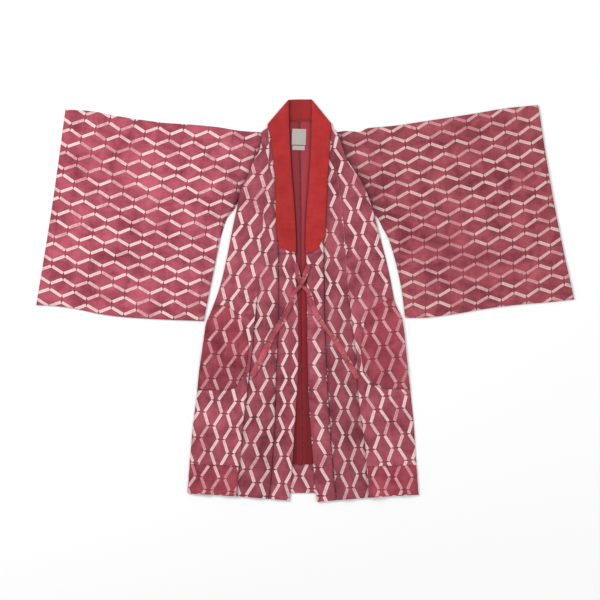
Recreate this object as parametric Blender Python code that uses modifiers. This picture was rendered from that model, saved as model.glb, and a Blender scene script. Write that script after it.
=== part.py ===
"""Kimono coat laid out flat on a surface, its fronts parted and its sleeves spread.

The coat lies on its back. X runs across it, Y from hem to neck and Z up from the surface. Left
and right are as seen from above. The origin is under the middle of the outline. Each sewn piece
is a wall of cloth of its own, a seam's gap away from its neighbours.
"""

import math
from bisect import bisect_right
from collections import namedtuple

import bmesh
import bpy
from mathutils import Vector

MM = 0.001

# Walls, in millimetres
CLOTH = 1.2
LINING = 1.0
BAND = 2.0
COLLAR = 1.6
TIE = 1.6
LABEL = 1.0

# Gaps, in millimetres: at a seam, and under a piece that lies on waved cloth
SEAM_GAP = 0.3
LAY_GAP = 0.6

# Levels of the undersides, in millimetres
BACK_LEVEL = 0.0
LINING_LEVEL = BACK_LEVEL + CLOTH + SEAM_GAP
BAND_LEVEL = LINING_LEVEL + LINING + SEAM_GAP
SLEEVE_HEIGHT = 3.4
ARMHOLE_LEVEL = SLEEVE_HEIGHT + SEAM_GAP
SIDE_LEVEL = LINING_LEVEL
COLLAR_LEVEL = max(BAND_LEVEL + BAND, ARMHOLE_LEVEL + CLOTH) + SEAM_GAP

# Front panels and their bands, in millimetres. Each row is a section across the coat: y is its
# place at the side edge, fold the pressed fold, seam the join of panel and band, edge the band's
# free edge, and drop how much lower the section lies at the seam than at the side.
FrontRow = namedtuple("FrontRow", "y side fold seam edge drop")
FRONT_LEFT = [
    FrontRow(424, -107, -95, -88, -44, -14),
    FrontRow(398, -110, -93, -82, -42, -8),
    FrontRow(372, -115, -92, -78, -40, -4),
    FrontRow(354, -127, -95, -76, -39, 0),
    FrontRow(322, -139, -98, -73, -37, 0),
    FrontRow(272, -162, -104, -71, -33, 0),
    FrontRow(220, -173, -108, -70, -29, 0),
    FrontRow(163, -185, -112, -68, -26, 0),
    FrontRow(106, -196, -116, -67, -23, 0),
    FrontRow(29, -215, -119, -66, -22, 0),
    FrontRow(-13, -230, -122, -66, -18, 0),
    FrontRow(-66, -250, -128, -67, -18, 0),
    FrontRow(-118, -257, -132, -69, -17, 0),
    FrontRow(-183, -266, -140, -72, -18, 0),
    FrontRow(-236, -271, -146, -74, -21, 0),
    FrontRow(-307, -280, -155, -75, -26, 2),
    FrontRow(-386, -287, -162, -81, -31, 6),
    FrontRow(-433, -291, -167, -84, -35, 10),
    FrontRow(-482, -294, -171, -90, -39, 13),
]
FRONT_RIGHT = [
    FrontRow(430, 72, 66, 61, 18, -8),
    FrontRow(417, 80, 68, 60, 18, -5),
    FrontRow(384, 93, 73, 58, 17, 0),
    FrontRow(359, 101, 75, 56, 16, 0),
    FrontRow(332, 118, 80, 55, 14, 0),
    FrontRow(294, 143, 87, 52, 11, 0),
    FrontRow(239, 165, 94, 50, 7, 0),
    FrontRow(184, 180, 100, 48, 5, 0),
    FrontRow(109, 200, 106, 47, 3, 0),
    FrontRow(57, 212, 109, 48, 4, 0),
    FrontRow(-3, 224, 112, 48, 4, 0),
    FrontRow(-48, 243, 116, 49, 5, 0),
    FrontRow(-128, 253, 127, 52, 6, 0),
    FrontRow(-171, 257, 131, 54, 7, 0),
    FrontRow(-228, 263, 133, 57, 8, 0),
    FrontRow(-307, 271, 141, 62, 13, 0),
    FrontRow(-371, 275, 151, 66, 18, 3),
    FrontRow(-462, 282, 157, 75, 26, 9),
    FrontRow(-485, 284, 160, 78, 29, 13.6),
]
DROP_POWER = 1.3
DROP_REACH = 1.3

# The pressed fold of each front: the side part laps over the inner part below fold_start
FOLD_START = 60
FOLD_FULL = -40
FOLD_HEIGHT = 3.0
FOLD_RISE = 34
FOLD_FOOT = 7

# Where the fronts lie on the sleeve ends, and where they are down on the back again
ARMHOLE_LOW = 205
ARMHOLE_OUT = 130

# Soft waves, each a ridge from one place to another in plan, in millimetres
Ridge = namedtuple("Ridge", "x0 y0 x1 y1 width height")
FRONT_WAVES = {
    "left": [
        Ridge(-140, 262, -186, 40, 22, 3.2),
        Ridge(-93, 240, -100, -70, 14, 2.4),
        Ridge(-236, -246, -262, -600, 21, 3.6),
        Ridge(-200, -250, -208, -600, 15, 2.4),
        Ridge(-108, -110, -124, -600, 15, 3.0),
    ],
    "right": [
        Ridge(112, 290, 178, 62, 22, 3.6),
        Ridge(76, 230, 82, -60, 13, 2.2),
        Ridge(186, -246, 192, -600, 17, 2.8),
        Ridge(236, -250, 252, -600, 18, 3.2),
        Ridge(90, -120, 112, -600, 14, 3.0),
    ],
}
SLEEVE_WAVES = {
    "left": [
        Ridge(-150, 408, -262, 214, 15, 3.4),
        Ridge(-190, 398, -570, 424, 20, 2.6),
        Ridge(-250, 262, -640, 300, 27, 3.6),
        Ridge(-262, 128, -660, 128, 24, 3.0),
        Ridge(-300, 18, -640, 34, 18, 2.4),
    ],
    "right": [
        Ridge(120, 408, 204, 262, 13, 4.0),
        Ridge(170, 412, 600, 446, 19, 2.6),
        Ridge(214, 300, 640, 330, 26, 3.6),
        Ridge(250, 168, 650, 186, 25, 3.2),
        Ridge(290, 26, 650, 62, 20, 2.6),
    ],
}
WAVE_CLEAR = 26
SLEEVE_WAVE_START = 24
SLEEVE_WAVE_FULL = 60

# Sleeves: each row is a section from the top fold to the bottom seam, body end first
SleeveRow = namedtuple("SleeveRow", "reach top_x top_y bottom_x bottom_y")
SLEEVE_LEFT = [
    SleeveRow(0.000, -95, 420, -254, -51),
    SleeveRow(0.125, -158, 424, -306, -49),
    SleeveRow(0.250, -221, 434, -358, -47),
    SleeveRow(0.375, -284, 440, -411, -44),
    SleeveRow(0.500, -347, 444, -463, -40),
    SleeveRow(0.625, -410, 452, -515, -33),
    SleeveRow(0.750, -473, 462, -567, -22),
    SleeveRow(0.875, -536, 474, -620, -14),
    SleeveRow(1.000, -599, 478, -672, -11),
]
SLEEVE_RIGHT = [
    SleeveRow(0.000, 64, 419, 250, -43),
    SleeveRow(0.080, 105, 424, 284, -43),
    SleeveRow(0.137, 135, 422, 308, -42),
    SleeveRow(0.180, 157, 431, 326, -40),
    SleeveRow(0.286, 212, 436, 370, -34),
    SleeveRow(0.500, 323, 452, 460, -19),
    SleeveRow(0.700, 426, 468, 545, -9),
    SleeveRow(0.850, 504, 481, 608, -4),
    SleeveRow(1.000, 582, 489, 672, 3),
]
CUFF_BOW = {"left": 3, "right": -6}

# The sleeve's inner edge: under the front along the armhole, then free
ARMHOLE_LAP = {"left": 12, "right": 19}
ARMHOLE_STATIONS = {"left": [420, 398, 372, 354, 322, 272], "right": [419, 384, 359, 332, 294, 239]}
FreeEdge = namedtuple("FreeEdge", "y x")
FREE_EDGE = {
    "left": [
        FreeEdge(249, -173),
        FreeEdge(224, -187),
        FreeEdge(202, -204),
        FreeEdge(155, -213),
        FreeEdge(29, -238),
        FreeEdge(-51, -254),
    ],
    "right": [
        FreeEdge(222, 163),
        FreeEdge(212, 177),
        FreeEdge(179, 195),
        FreeEdge(150, 210),
        FreeEdge(32, 240),
        FreeEdge(-43, 250),
    ],
}
FREE_EDGE_FADE = 0.3

# The left sleeve's back layer shows past its front layer just under the armhole
BACK_LAYER_REACH = {"left": 7, "right": 0}
BACK_LAYER_HIGH = 272
BACK_LAYER_LOW = 140
BACK_LAYER_EASE = 32
BACK_LAYER_FADE = 12

# The back panels lie inside the fronts' outline and beside the sleeve ends
BackRow = namedtuple("BackRow", "y inset_left inset_right centre")
BACK = [
    BackRow(424, 14, 15, -13),
    BackRow(398, 14, 21, -13),
    BackRow(272, 14, 21, -11),
    BackRow(239, 8, 21, -11),
    BackRow(224, 4, 14, -10),
    BackRow(208, 3, 5, -10),
    BackRow(190, 2.5, 2.5, -10),
    BackRow(-480, 2.5, 2.5, -5),
]
NECK_Y = 448.6
NECK_POWER = 2.5
NECK_RUN = 120

# Lining and hem facing, which show between the bands
LINING_LEFT_X = -54
LINING_RIGHT_X = 33
LINING_TOP = 445.5
LINING_FOOT = -409
FACING_LEFT_X = -52
FACING_RIGHT_X = 44
FACING_FOOT = -480.5

# Over-collar: each row joins its outer and inner edge, from the rounded end up to the neck
CollarRow = namedtuple("CollarRow", "outer_x outer_y inner_x inner_y")
COLLAR_LEFT = [
    CollarRow(-38, 123, -23, 120.5),
    CollarRow(-55, 130, -23, 127),
    CollarRow(-65, 139, -23, 137),
    CollarRow(-68, 152, -23, 151),
    CollarRow(-73, 199, -25, 199),
    CollarRow(-74, 282, -31, 282),
    CollarRow(-80, 352, -36, 352),
    CollarRow(-88, 415, -39, 415),
    CollarRow(-94, 434, -40, 437),
    CollarRow(-94, 438, -40, 449),
    CollarRow(-93, 441, -41, 475),
]
COLLAR_RIGHT = [
    CollarRow(20, 122, 1, 119),
    CollarRow(34, 135, 1, 129),
    CollarRow(42, 151, 1, 142),
    CollarRow(50, 160, 1, 156),
    CollarRow(52, 213, 3, 213),
    CollarRow(55, 282, 8, 282),
    CollarRow(59, 347, 13, 350),
    CollarRow(62, 399, 15, 400),
    CollarRow(65, 436, 16, 437),
    CollarRow(65, 441, 16, 450),
    CollarRow(63, 445, 17, 476),
]
COLLAR_TURN = {"left": CollarRow(-92, 443, -42, 501), "right": CollarRow(61, 447, 17, 501)}
COLLAR_BACK = [
    CollarRow(-68, 446, -42, 502),
    CollarRow(-41, 449, -41, 502),
    CollarRow(-13, 450, -13, 503),
    CollarRow(16, 450, 16, 503),
    CollarRow(38, 449, 17, 502),
]
COLLAR_BACK_LEVEL = COLLAR / 2
COLLAR_FRONT_LEVEL = COLLAR_LEVEL + COLLAR / 2

# Pockets: the inner edge; the mouth is the side edge of the front
PocketRow = namedtuple("PocketRow", "y inner")
POCKETS = {
    "left": [
        PocketRow(-11, -210),
        PocketRow(-16, -193),
        PocketRow(-28, -173),
        PocketRow(-58, -155),
        PocketRow(-111, -141),
        PocketRow(-158, -146),
        PocketRow(-201, -163),
        PocketRow(-218, -177),
        PocketRow(-224, -192),
    ],
    "right": [
        PocketRow(4, 211),
        PocketRow(-3, 196),
        PocketRow(-21, 165),
        PocketRow(-61, 147),
        PocketRow(-123, 139),
        PocketRow(-176, 146),
        PocketRow(-206, 166),
        PocketRow(-218, 188),
        PocketRow(-221, 200),
    ],
}
POCKET_INSET = 1.0

# Hem patches run from the side to the pressed fold
PATCH_TOP = {"left": -408, "right": -411}
PATCH_INSET = 2.0

# Ties: the points each one passes, from its band to its free end
TiePoint = namedtuple("TiePoint", "x y width")
TIES = {
    "left": [
        TiePoint(-25, 93, 13),
        TiePoint(-18, 64, 12),
        TiePoint(-9, 38, 8),
        TiePoint(7, 24, 11),
        TiePoint(14, 4, 14),
        TiePoint(24, -25, 14),
        TiePoint(46, -62, 14),
        TiePoint(76, -100, 15),
        TiePoint(105, -149, 15),
        TiePoint(131, -193, 14),
    ],
    "right": [
        TiePoint(9, 90, 13),
        TiePoint(-1, 62, 12),
        TiePoint(-11, 38, 8),
        TiePoint(-27, 20, 11),
        TiePoint(-32, 0, 14),
        TiePoint(-46, -27, 15),
        TiePoint(-63, -58, 16),
        TiePoint(-83, -88, 16),
        TiePoint(-108, -142, 16),
        TiePoint(-133, -188, 15),
    ],
}
TIE_ROWS = 30
TIE_CROSSING = 0.7

# Labels on the lining: centre, half width, half height and lean in degrees
Tape = namedtuple("Tape", "x y width height lean")
TAPES = {
    "label": Tape(-15.5, 409, 35, 40, -2),
    "size_tab": Tape(-16.5, 381.5, 31, 11, -2),
}

# Mesh steps
FRONT_STEPS = 34
FRONT_OUTER_COLUMNS = 7
FRONT_INNER_COLUMNS = 4
BAND_COLUMNS = 3
BACK_STEPS = 22
BACK_COLUMNS = 3
LINING_STEPS = 10
SLEEVE_STEPS = 15
SLEEVE_CROWDING = 1.25
SLEEVE_UNDER_COLUMNS = 4
SLEEVE_OVER_COLUMNS = 13
SLEEVE_EDGE_STEPS = 4
COLLAR_STEPS = 18
COLLAR_COLUMNS = 3
COLLAR_TURN_STEPS = 4
POCKET_STEPS = 9
POCKET_COLUMNS = 6
POCKET_CROWDING = 0.7
PATCH_STEPS = 4

# Colours, as seen in daylight: red, green, blue from 0 to 255, and roughness
Finish = namedtuple("Finish", "red green blue roughness")
PRINTED = Finish(176, 70, 90, 0.78)
OVER_COLLAR = Finish(190, 48, 48, 0.8)
LINING_RED = Finish(168, 50, 62, 0.75)
TAPE_GREY = Finish(206, 200, 190, 0.8)


def through(knots):
    """A smooth function through (place, value) knots that doesn't overshoot them."""
    knots = sorted(knots)
    places = [place for place, _ in knots]
    values = [value for _, value in knots]
    steps = [b - a for a, b in zip(places, places[1:])]
    rises = [(b - a) / step for a, b, step in zip(values, values[1:], steps)]
    slopes = [rises[0]]
    for before, after in zip(rises, rises[1:]):
        same_way = before * after > 0
        slopes.append(2 * before * after / (before + after) if same_way else 0.0)
    slopes.append(rises[-1])

    def value_at(place):
        place = min(max(place, places[0]), places[-1])
        i = min(bisect_right(places, place) - 1, len(steps) - 1)
        u = (place - places[i]) / steps[i]
        rest = 1 - u
        ends = (1 + 2 * u) * rest * rest * values[i] + u * u * (3 - 2 * u) * values[i + 1]
        pull = u * rest * rest * slopes[i] - u * u * rest * slopes[i + 1]
        return ends + steps[i] * pull

    return value_at


def column(rows, name, key="y"):
    """One column of a table as a smooth function of another."""
    return through([(getattr(row, key), getattr(row, name)) for row in rows])


def ease(value, low, high):
    """0 below low, 1 above high, and a smooth step between them."""
    u = min(max((value - low) / (high - low), 0.0), 1.0)
    return u * u * (3 - 2 * u)


def mix(a, b, share):
    return a + (b - a) * share


def ridge_height(ridge, x, y):
    """Height of one soft wave at a place in plan."""
    run_x = ridge.x1 - ridge.x0
    run_y = ridge.y1 - ridge.y0
    length = math.hypot(run_x, run_y)
    along = ((x - ridge.x0) * run_x + (y - ridge.y0) * run_y) / length
    across = ((x - ridge.x0) * run_y - (y - ridge.y0) * run_x) / length
    taper = ease(along, 0, 0.3 * length) * ease(length - along, 0, 0.3 * length)
    return ridge.height * taper * math.exp(-((across / ridge.width) ** 2))


class Front:
    """One front panel with its band: its columns, and the height of its cloth over the plan."""

    def __init__(self, side, rows):
        self.name = side
        self.side = column(rows, "side")
        self.fold = column(rows, "fold")
        self.seam = column(rows, "seam")
        self.edge = column(rows, "edge")
        self.drop = column(rows, "drop")
        self.top = rows[0].y
        self.foot = rows[-1].y
        self.inward = 1 if side == "left" else -1

    def place(self, y, x):
        """A point of section y in plan, lowered by the section's drop."""
        share = (x - self.side(y)) / (self.seam(y) - self.side(y))
        return x, y - self.drop(y) * min(max(share, 0), DROP_REACH) ** DROP_POWER

    def under(self, x, y):
        """Height of the panel's underside."""
        armhole = ease(y, ARMHOLE_OUT, ARMHOLE_LOW)
        side = mix(SIDE_LEVEL, ARMHOLE_LEVEL, armhole)
        seam = mix(BAND_LEVEL, ARMHOLE_LEVEL, armhole)
        share = (x - self.side(y)) / (self.seam(y) - self.side(y))
        level = mix(side, seam, ease(share, 0, 1))
        past = (x - self.fold(y)) * self.inward
        pressed = FOLD_HEIGHT * ease(-y, -FOLD_START, -FOLD_FULL)
        foot = self.foot_width(y)
        lap = max(1 + past / FOLD_RISE, 0) ** 2 if past < 0 else max(1 - past / foot, 0)
        inside = abs(self.seam(y) - x)
        waves = sum(ridge_height(ridge, x, y) for ridge in FRONT_WAVES[self.name])
        return level + pressed * lap + waves * ease(inside, 0, WAVE_CLEAR)

    def foot_width(self, y):
        """How far past the fold its lap comes down."""
        return min(FOLD_FOOT, 0.3 * abs(self.seam(y) - self.fold(y)))

    def columns(self, y):
        """The panel's x places from the side to the seam."""
        side, fold, seam = self.side(y), self.fold(y), self.seam(y)
        foot = fold + self.inward * self.foot_width(y)
        outer = [mix(side, fold, i / FRONT_OUTER_COLUMNS) for i in range(FRONT_OUTER_COLUMNS + 1)]
        inner = [mix(foot, seam, i / FRONT_INNER_COLUMNS) for i in range(FRONT_INNER_COLUMNS + 1)]
        return outer + inner

    def panel_point(self, i, y):
        x = self.columns(y)[i]
        plan_x, plan_y = self.place(y, x)
        return plan_x, plan_y, self.under(x, y)

    def band_point(self, i, y):
        outer = self.seam(y) + self.inward * SEAM_GAP
        x = mix(outer, self.edge(y), i / BAND_COLUMNS)
        plan_x, plan_y = self.place(y, x)
        return plan_x, plan_y, BAND_LEVEL


FRONTS = {"left": Front("left", FRONT_LEFT), "right": Front("right", FRONT_RIGHT)}


def coat_top(x, y):
    """Height of the uppermost cloth of the fronts at a place in plan."""
    for front in FRONTS.values():
        across = (x - front.edge(y)) * front.inward
        if across > 0:
            continue
        past_seam = (x - front.seam(y)) * front.inward
        if past_seam > -1:
            return BAND_LEVEL + BAND
        return front.under(x, y) + CLOTH
    return LINING_LEVEL + LINING


def make_material(name, finish):
    material = bpy.data.materials.new(name)
    material.use_nodes = True
    shader = material.node_tree.nodes["Principled BSDF"]
    linear = [(level / 255) ** 2.2 for level in finish[:3]]
    shader.inputs["Base Color"].default_value = (*linear, 1)
    shader.inputs["Roughness"].default_value = finish.roughness
    shader.inputs["Metallic"].default_value = 0
    material.diffuse_color = (*linear, 1)
    return material


def add_wall(name, columns, rows, point, thickness, finish, offset=1, closed=False):
    """A grid of columns by rows shaped by point(column, row) and thickened to a cloth wall.

    The offset is 1 to thicken away from the surface's underside, 0 to both sides of it and -1
    inwards. A closed grid joins its last column to its first.
    """
    mesh = bpy.data.meshes.new(name)
    grid = bmesh.new()
    bmesh.ops.create_grid(grid, x_segments=columns, y_segments=rows, size=1)
    for vert in grid.verts:
        i = round((vert.co.x + 1) / 2 * columns)
        j = round((vert.co.y + 1) / 2 * rows)
        vert.co = Vector(point(i % columns if closed else i, j)) * MM
    if closed:
        bmesh.ops.remove_doubles(grid, verts=grid.verts, dist=1e-7)
    grid.to_mesh(mesh)
    grid.free()
    mesh.shade_smooth()
    wall = bpy.data.objects.new(name, mesh)
    wall.data.materials.append(make_material(name, finish))
    solidify = wall.modifiers.new("Thickness", "SOLIDIFY")
    solidify.thickness = thickness * MM
    solidify.offset = offset
    COAT.objects.link(wall)
    return wall


def left_to_right(side, count, i):
    """The i-th place from the left, counted from the side edge."""
    return i if side == "left" else count - i


def add_fronts():
    count = FRONT_OUTER_COLUMNS + 1 + FRONT_INNER_COLUMNS
    for side, front in FRONTS.items():

        def panel(i, j, front=front, side=side):
            y = mix(front.foot, front.top, j / FRONT_STEPS)
            return front.panel_point(left_to_right(side, count, i), y)

        def band(i, j, front=front, side=side):
            y = mix(front.foot, front.top, j / FRONT_STEPS)
            return front.band_point(left_to_right(side, BAND_COLUMNS, i), y)

        add_wall(f"front_{side}", count, FRONT_STEPS, panel, CLOTH, PRINTED)
        add_wall(f"band_{side}", BAND_COLUMNS, FRONT_STEPS, band, BAND, PRINTED)


def add_backs():
    centre = column(BACK, "centre")
    for side, front in FRONTS.items():
        inset = column(BACK, f"inset_{side}")

        def point(i, j, front=front, side=side, inset=inset):
            y = mix(BACK[-1].y, BACK[0].y, j / BACK_STEPS)
            outer = front.side(y) + front.inward * inset(y)
            middle = centre(y) - front.inward * SEAM_GAP / 2
            share = left_to_right(side, BACK_COLUMNS, i) / BACK_COLUMNS
            neck = (NECK_Y - BACK[0].y) * (1 - (1 - share) ** NECK_POWER)
            rise = neck * ease(y, BACK[0].y - NECK_RUN, BACK[0].y)
            return mix(outer, middle, share), y + rise, BACK_LEVEL

        add_wall(f"back_{side}", BACK_COLUMNS, BACK_STEPS, point, CLOTH, PRINTED)


def add_linings():
    centre = column(BACK, "centre")
    edges = {"left": LINING_LEFT_X, "right": LINING_RIGHT_X}
    for side, front in FRONTS.items():

        def half(i, j, side=side, front=front):
            y = mix(LINING_FOOT + SEAM_GAP, LINING_TOP, j / LINING_STEPS)
            middle = centre(y) - front.inward * SEAM_GAP / 2
            share = i if side == "left" else 1 - i
            return mix(edges[side], middle, share), y, LINING_LEVEL

        add_wall(f"lining_{side}", 1, LINING_STEPS, half, LINING, LINING_RED)

    def facing(i, j):
        return mix(FACING_LEFT_X, FACING_RIGHT_X, i), mix(FACING_FOOT, LINING_FOOT, j), LINING_LEVEL

    add_wall("hem_facing", 1, 1, facing, LINING, PRINTED)


class Sleeve:
    """One sleeve, a flattened tube open at the cuff and at the body."""

    def __init__(self, side, rows):
        self.name = side
        self.top_x = column(rows, "top_x", "reach")
        self.top_y = column(rows, "top_y", "reach")
        self.bottom_x = column(rows, "bottom_x", "reach")
        self.bottom_y = column(rows, "bottom_y", "reach")
        front = FRONTS[side]
        lap = front.inward * ARMHOLE_LAP[side]
        armhole = [(y, front.side(y) + lap) for y in ARMHOLE_STATIONS[side]]
        armhole[0] = (rows[0].top_y, rows[0].top_x)
        self.inner_x = through(armhole + [(free.y, free.x) for free in FREE_EDGE[side]])

    def plan(self, reach, share):
        """A point in plan, from the body to the cuff and from the top fold to the bottom seam."""
        x = mix(self.top_x(reach), self.bottom_x(reach), share)
        y = mix(self.top_y(reach), self.bottom_y(reach), share)
        body_x = mix(self.top_x(0), self.bottom_x(0), share)
        body_y = mix(self.top_y(0), self.bottom_y(0), share)
        near_body = max(1 - reach / FREE_EDGE_FADE, 0) ** 2
        bow = CUFF_BOW[self.name] * math.sin(math.pi * share) * reach ** 2
        return x + (self.inner_x(body_y) - body_x) * near_body + bow, y

    def height(self, x, y):
        """How far the upper layer stands above its lowest level."""
        waves = sum(ridge_height(ridge, x, y) for ridge in SLEEVE_WAVES[self.name])
        return waves * ease(abs(x - self.inner_x(y)), SLEEVE_WAVE_START, SLEEVE_WAVE_FULL)


def sleeve_ring(depth):
    """The stations round a sleeve: share of its depth, level, and whether it is the upper layer."""
    radius = SLEEVE_HEIGHT / 2
    inset = radius / depth
    ring = []
    for i in range(SLEEVE_UNDER_COLUMNS + 1):
        ring.append((mix(inset, 1 - inset, i / SLEEVE_UNDER_COLUMNS), 0.0, False))
    for i in range(1, SLEEVE_EDGE_STEPS):
        angle = math.pi * i / SLEEVE_EDGE_STEPS
        ring.append((1 - inset * (1 - math.sin(angle)), radius * (1 - math.cos(angle)), False))
    for i in range(SLEEVE_OVER_COLUMNS + 1):
        ring.append((mix(1 - inset, inset, i / SLEEVE_OVER_COLUMNS), SLEEVE_HEIGHT, True))
    for i in range(1, SLEEVE_EDGE_STEPS):
        angle = math.pi * i / SLEEVE_EDGE_STEPS
        ring.append((inset * (1 - math.sin(angle)), radius * (1 + math.cos(angle)), False))
    return ring


def add_sleeves():
    for side, rows in (("left", SLEEVE_LEFT), ("right", SLEEVE_RIGHT)):
        sleeve = Sleeve(side, rows)
        depth = math.hypot(rows[0].top_x - rows[0].bottom_x, rows[0].top_y - rows[0].bottom_y)
        ring = sleeve_ring(depth)
        inward = FRONTS[side].inward

        def point(i, j, sleeve=sleeve, ring=ring, inward=inward, side=side):
            station = i if side == "left" else len(ring) - 1 - i
            share, level, over = ring[station]
            reach = (j / SLEEVE_STEPS) ** SLEEVE_CROWDING
            x, y = sleeve.plan(reach, share)
            if over:
                level += sleeve.height(x, y)
            elif level == 0:
                above = ease(y, BACK_LAYER_LOW, BACK_LAYER_LOW + 2 * BACK_LAYER_EASE)
                below = ease(BACK_LAYER_HIGH - y, 0, BACK_LAYER_EASE)
                near_body = max(1 - reach * BACK_LAYER_FADE, 0)
                x += inward * BACK_LAYER_REACH[side] * above * below * near_body
            return x, y, level

        add_wall(f"sleeve_{side}", len(ring), SLEEVE_STEPS, point, CLOTH, PRINTED, -1, True)


def collar_side(rows):
    """Rows of one side of the over-collar, evenly spaced from its end to the neck."""
    keys = range(len(rows))
    tracks = [through([(key, row[k]) for key, row in zip(keys, rows)]) for k in range(4)]
    spots = []
    for step in range(COLLAR_STEPS + 1):
        key = (len(rows) - 1) * step / COLLAR_STEPS
        spots.append([track(key) for track in tracks] + [COLLAR_FRONT_LEVEL, 0.0, 0.0])
    return spots


def collar_turn(row):
    """Rows round the diagonal fold at the neck, from the front level down to the back level."""
    run_x = row.inner_x - row.outer_x
    run_y = row.inner_y - row.outer_y
    length = math.hypot(run_x, run_y)
    out_x = -run_y / length if run_x > 0 else run_y / length
    out_y = abs(run_x) / length
    radius = (COLLAR_FRONT_LEVEL - COLLAR_BACK_LEVEL) / 2
    spots = []
    for i in range(COLLAR_TURN_STEPS + 1):
        angle = math.pi * i / COLLAR_TURN_STEPS
        push = radius * (math.sin(angle) - 1)
        level = COLLAR_BACK_LEVEL + radius * (1 + math.cos(angle))
        spots.append([*row, level, out_x * push, out_y * push])
    return spots


def add_collar():
    left = collar_side(COLLAR_LEFT) + collar_turn(COLLAR_TURN["left"])
    right = collar_side(COLLAR_RIGHT) + collar_turn(COLLAR_TURN["right"])
    back = [[*row, COLLAR_BACK_LEVEL, 0.0, 0.0] for row in COLLAR_BACK]
    spots = left + back + right[::-1]

    def point(i, j):
        outer_x, outer_y, inner_x, inner_y, level, push_x, push_y = spots[j]
        share = i / COLLAR_COLUMNS
        return mix(outer_x, inner_x, share) + push_x, mix(outer_y, inner_y, share) + push_y, level

    add_wall("collar", COLLAR_COLUMNS, len(spots) - 1, point, COLLAR, OVER_COLLAR, 0)


def add_pockets():
    for side, rows in POCKETS.items():
        front = FRONTS[side]
        inner = column(rows, "inner")

        def point(i, j, front=front, side=side, inner=inner, rows=rows):
            share = j / POCKET_STEPS
            crowded = 0.5 - 0.5 * math.cos(math.pi * share)
            y = mix(rows[-1].y, rows[0].y, mix(share, crowded, POCKET_CROWDING))
            mouth = front.side(y) + front.inward * POCKET_INSET
            x = mix(mouth, inner(y), left_to_right(side, POCKET_COLUMNS, i) / POCKET_COLUMNS)
            return x, y, front.under(x, y) + CLOTH + LAY_GAP

        add_wall(f"pocket_{side}", POCKET_COLUMNS, POCKET_STEPS, point, CLOTH, PRINTED)


def add_hem_patches():
    for side, front in FRONTS.items():

        def point(i, j, front=front, side=side):
            y = mix(front.foot + PATCH_INSET, PATCH_TOP[side], j / PATCH_STEPS)
            station = left_to_right(side, FRONT_OUTER_COLUMNS, i)
            x, plan_y, under = front.panel_point(station, y)
            if station == 0:
                x += front.inward * POCKET_INSET
            return x, plan_y, under + CLOTH + SEAM_GAP

        add_wall(f"hem_patch_{side}", FRONT_OUTER_COLUMNS, PATCH_STEPS, point, CLOTH, PRINTED)


def tie_path(points):
    """Evenly spaced (x, y, width) along one tie."""
    runs = [0.0]
    for a, b in zip(points, points[1:]):
        runs.append(runs[-1] + math.hypot(b.x - a.x, b.y - a.y))
    tracks = [through([(run, point[k]) for run, point in zip(runs, points)]) for k in range(3)]
    return [[track(runs[-1] * i / TIE_ROWS) for track in tracks] for i in range(TIE_ROWS + 1)]


def add_ties():
    laid = []
    for side, points in TIES.items():
        path = tie_path(points)
        levels = []
        for x, y, width in path:
            around = [(0, 0), (width / 2, 0), (-width / 2, 0), (0, width / 2), (0, -width / 2)]
            level = max(coat_top(x + dx, y + dy) for dx, dy in around) + LAY_GAP
            for other_x, other_y, other_level, other_width in laid:
                if math.hypot(x - other_x, y - other_y) < (width + other_width) * TIE_CROSSING:
                    level = max(level, other_level + TIE + LAY_GAP)
            levels.append(level)
        lifted = [max(levels[max(i - 1, 0):i + 2]) for i in range(len(levels))]
        laid += [(x, y, level, width) for (x, y, width), level in zip(path, lifted)]

        def point(i, j, path=path, lifted=lifted):
            x, y, width = path[TIE_ROWS - j]
            before = path[min(TIE_ROWS - j + 1, TIE_ROWS)]
            after = path[max(TIE_ROWS - j - 1, 0)]
            run_x, run_y = after[0] - before[0], after[1] - before[1]
            length = math.hypot(run_x, run_y)
            across = (i - 1) * width / 2
            return x + across * run_y / length, y - across * run_x / length, lifted[TIE_ROWS - j]

        add_wall(f"tie_{side}", 2, TIE_ROWS, point, TIE, PRINTED)


def add_tapes():
    level = BAND_LEVEL
    for name, tape in TAPES.items():
        bpy.ops.mesh.primitive_cube_add(size=1)
        piece = bpy.context.object
        piece.name = name
        piece.data.name = name
        for vert in piece.data.vertices:
            vert.co = Vector((vert.co.x * tape.width, vert.co.y * tape.height, vert.co.z * LABEL)) * MM
        piece.location = Vector((tape.x, tape.y, level + LABEL / 2)) * MM
        piece.rotation_euler.z = math.radians(tape.lean)
        piece.data.materials.append(make_material(name, TAPE_GREY))
        for home in piece.users_collection:
            home.objects.unlink(piece)
        COAT.objects.link(piece)


for old in list(bpy.data.objects):
    bpy.data.objects.remove(old, do_unlink=True)
COAT = bpy.data.collections.new("Kimono coat")
bpy.context.scene.collection.children.link(COAT)
add_backs()
add_linings()
add_sleeves()
add_fronts()
add_collar()
add_pockets()
add_hem_patches()
add_ties()
add_tapes()
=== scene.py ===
"""Looks of a kimono coat laid out flat on a surface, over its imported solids.

Places and sizes are in millimetres until a mesh is made. Left and right are as seen from above,
and the named tables repeat the shape of the part's own source.
"""

import math
import random
from collections import namedtuple

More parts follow.
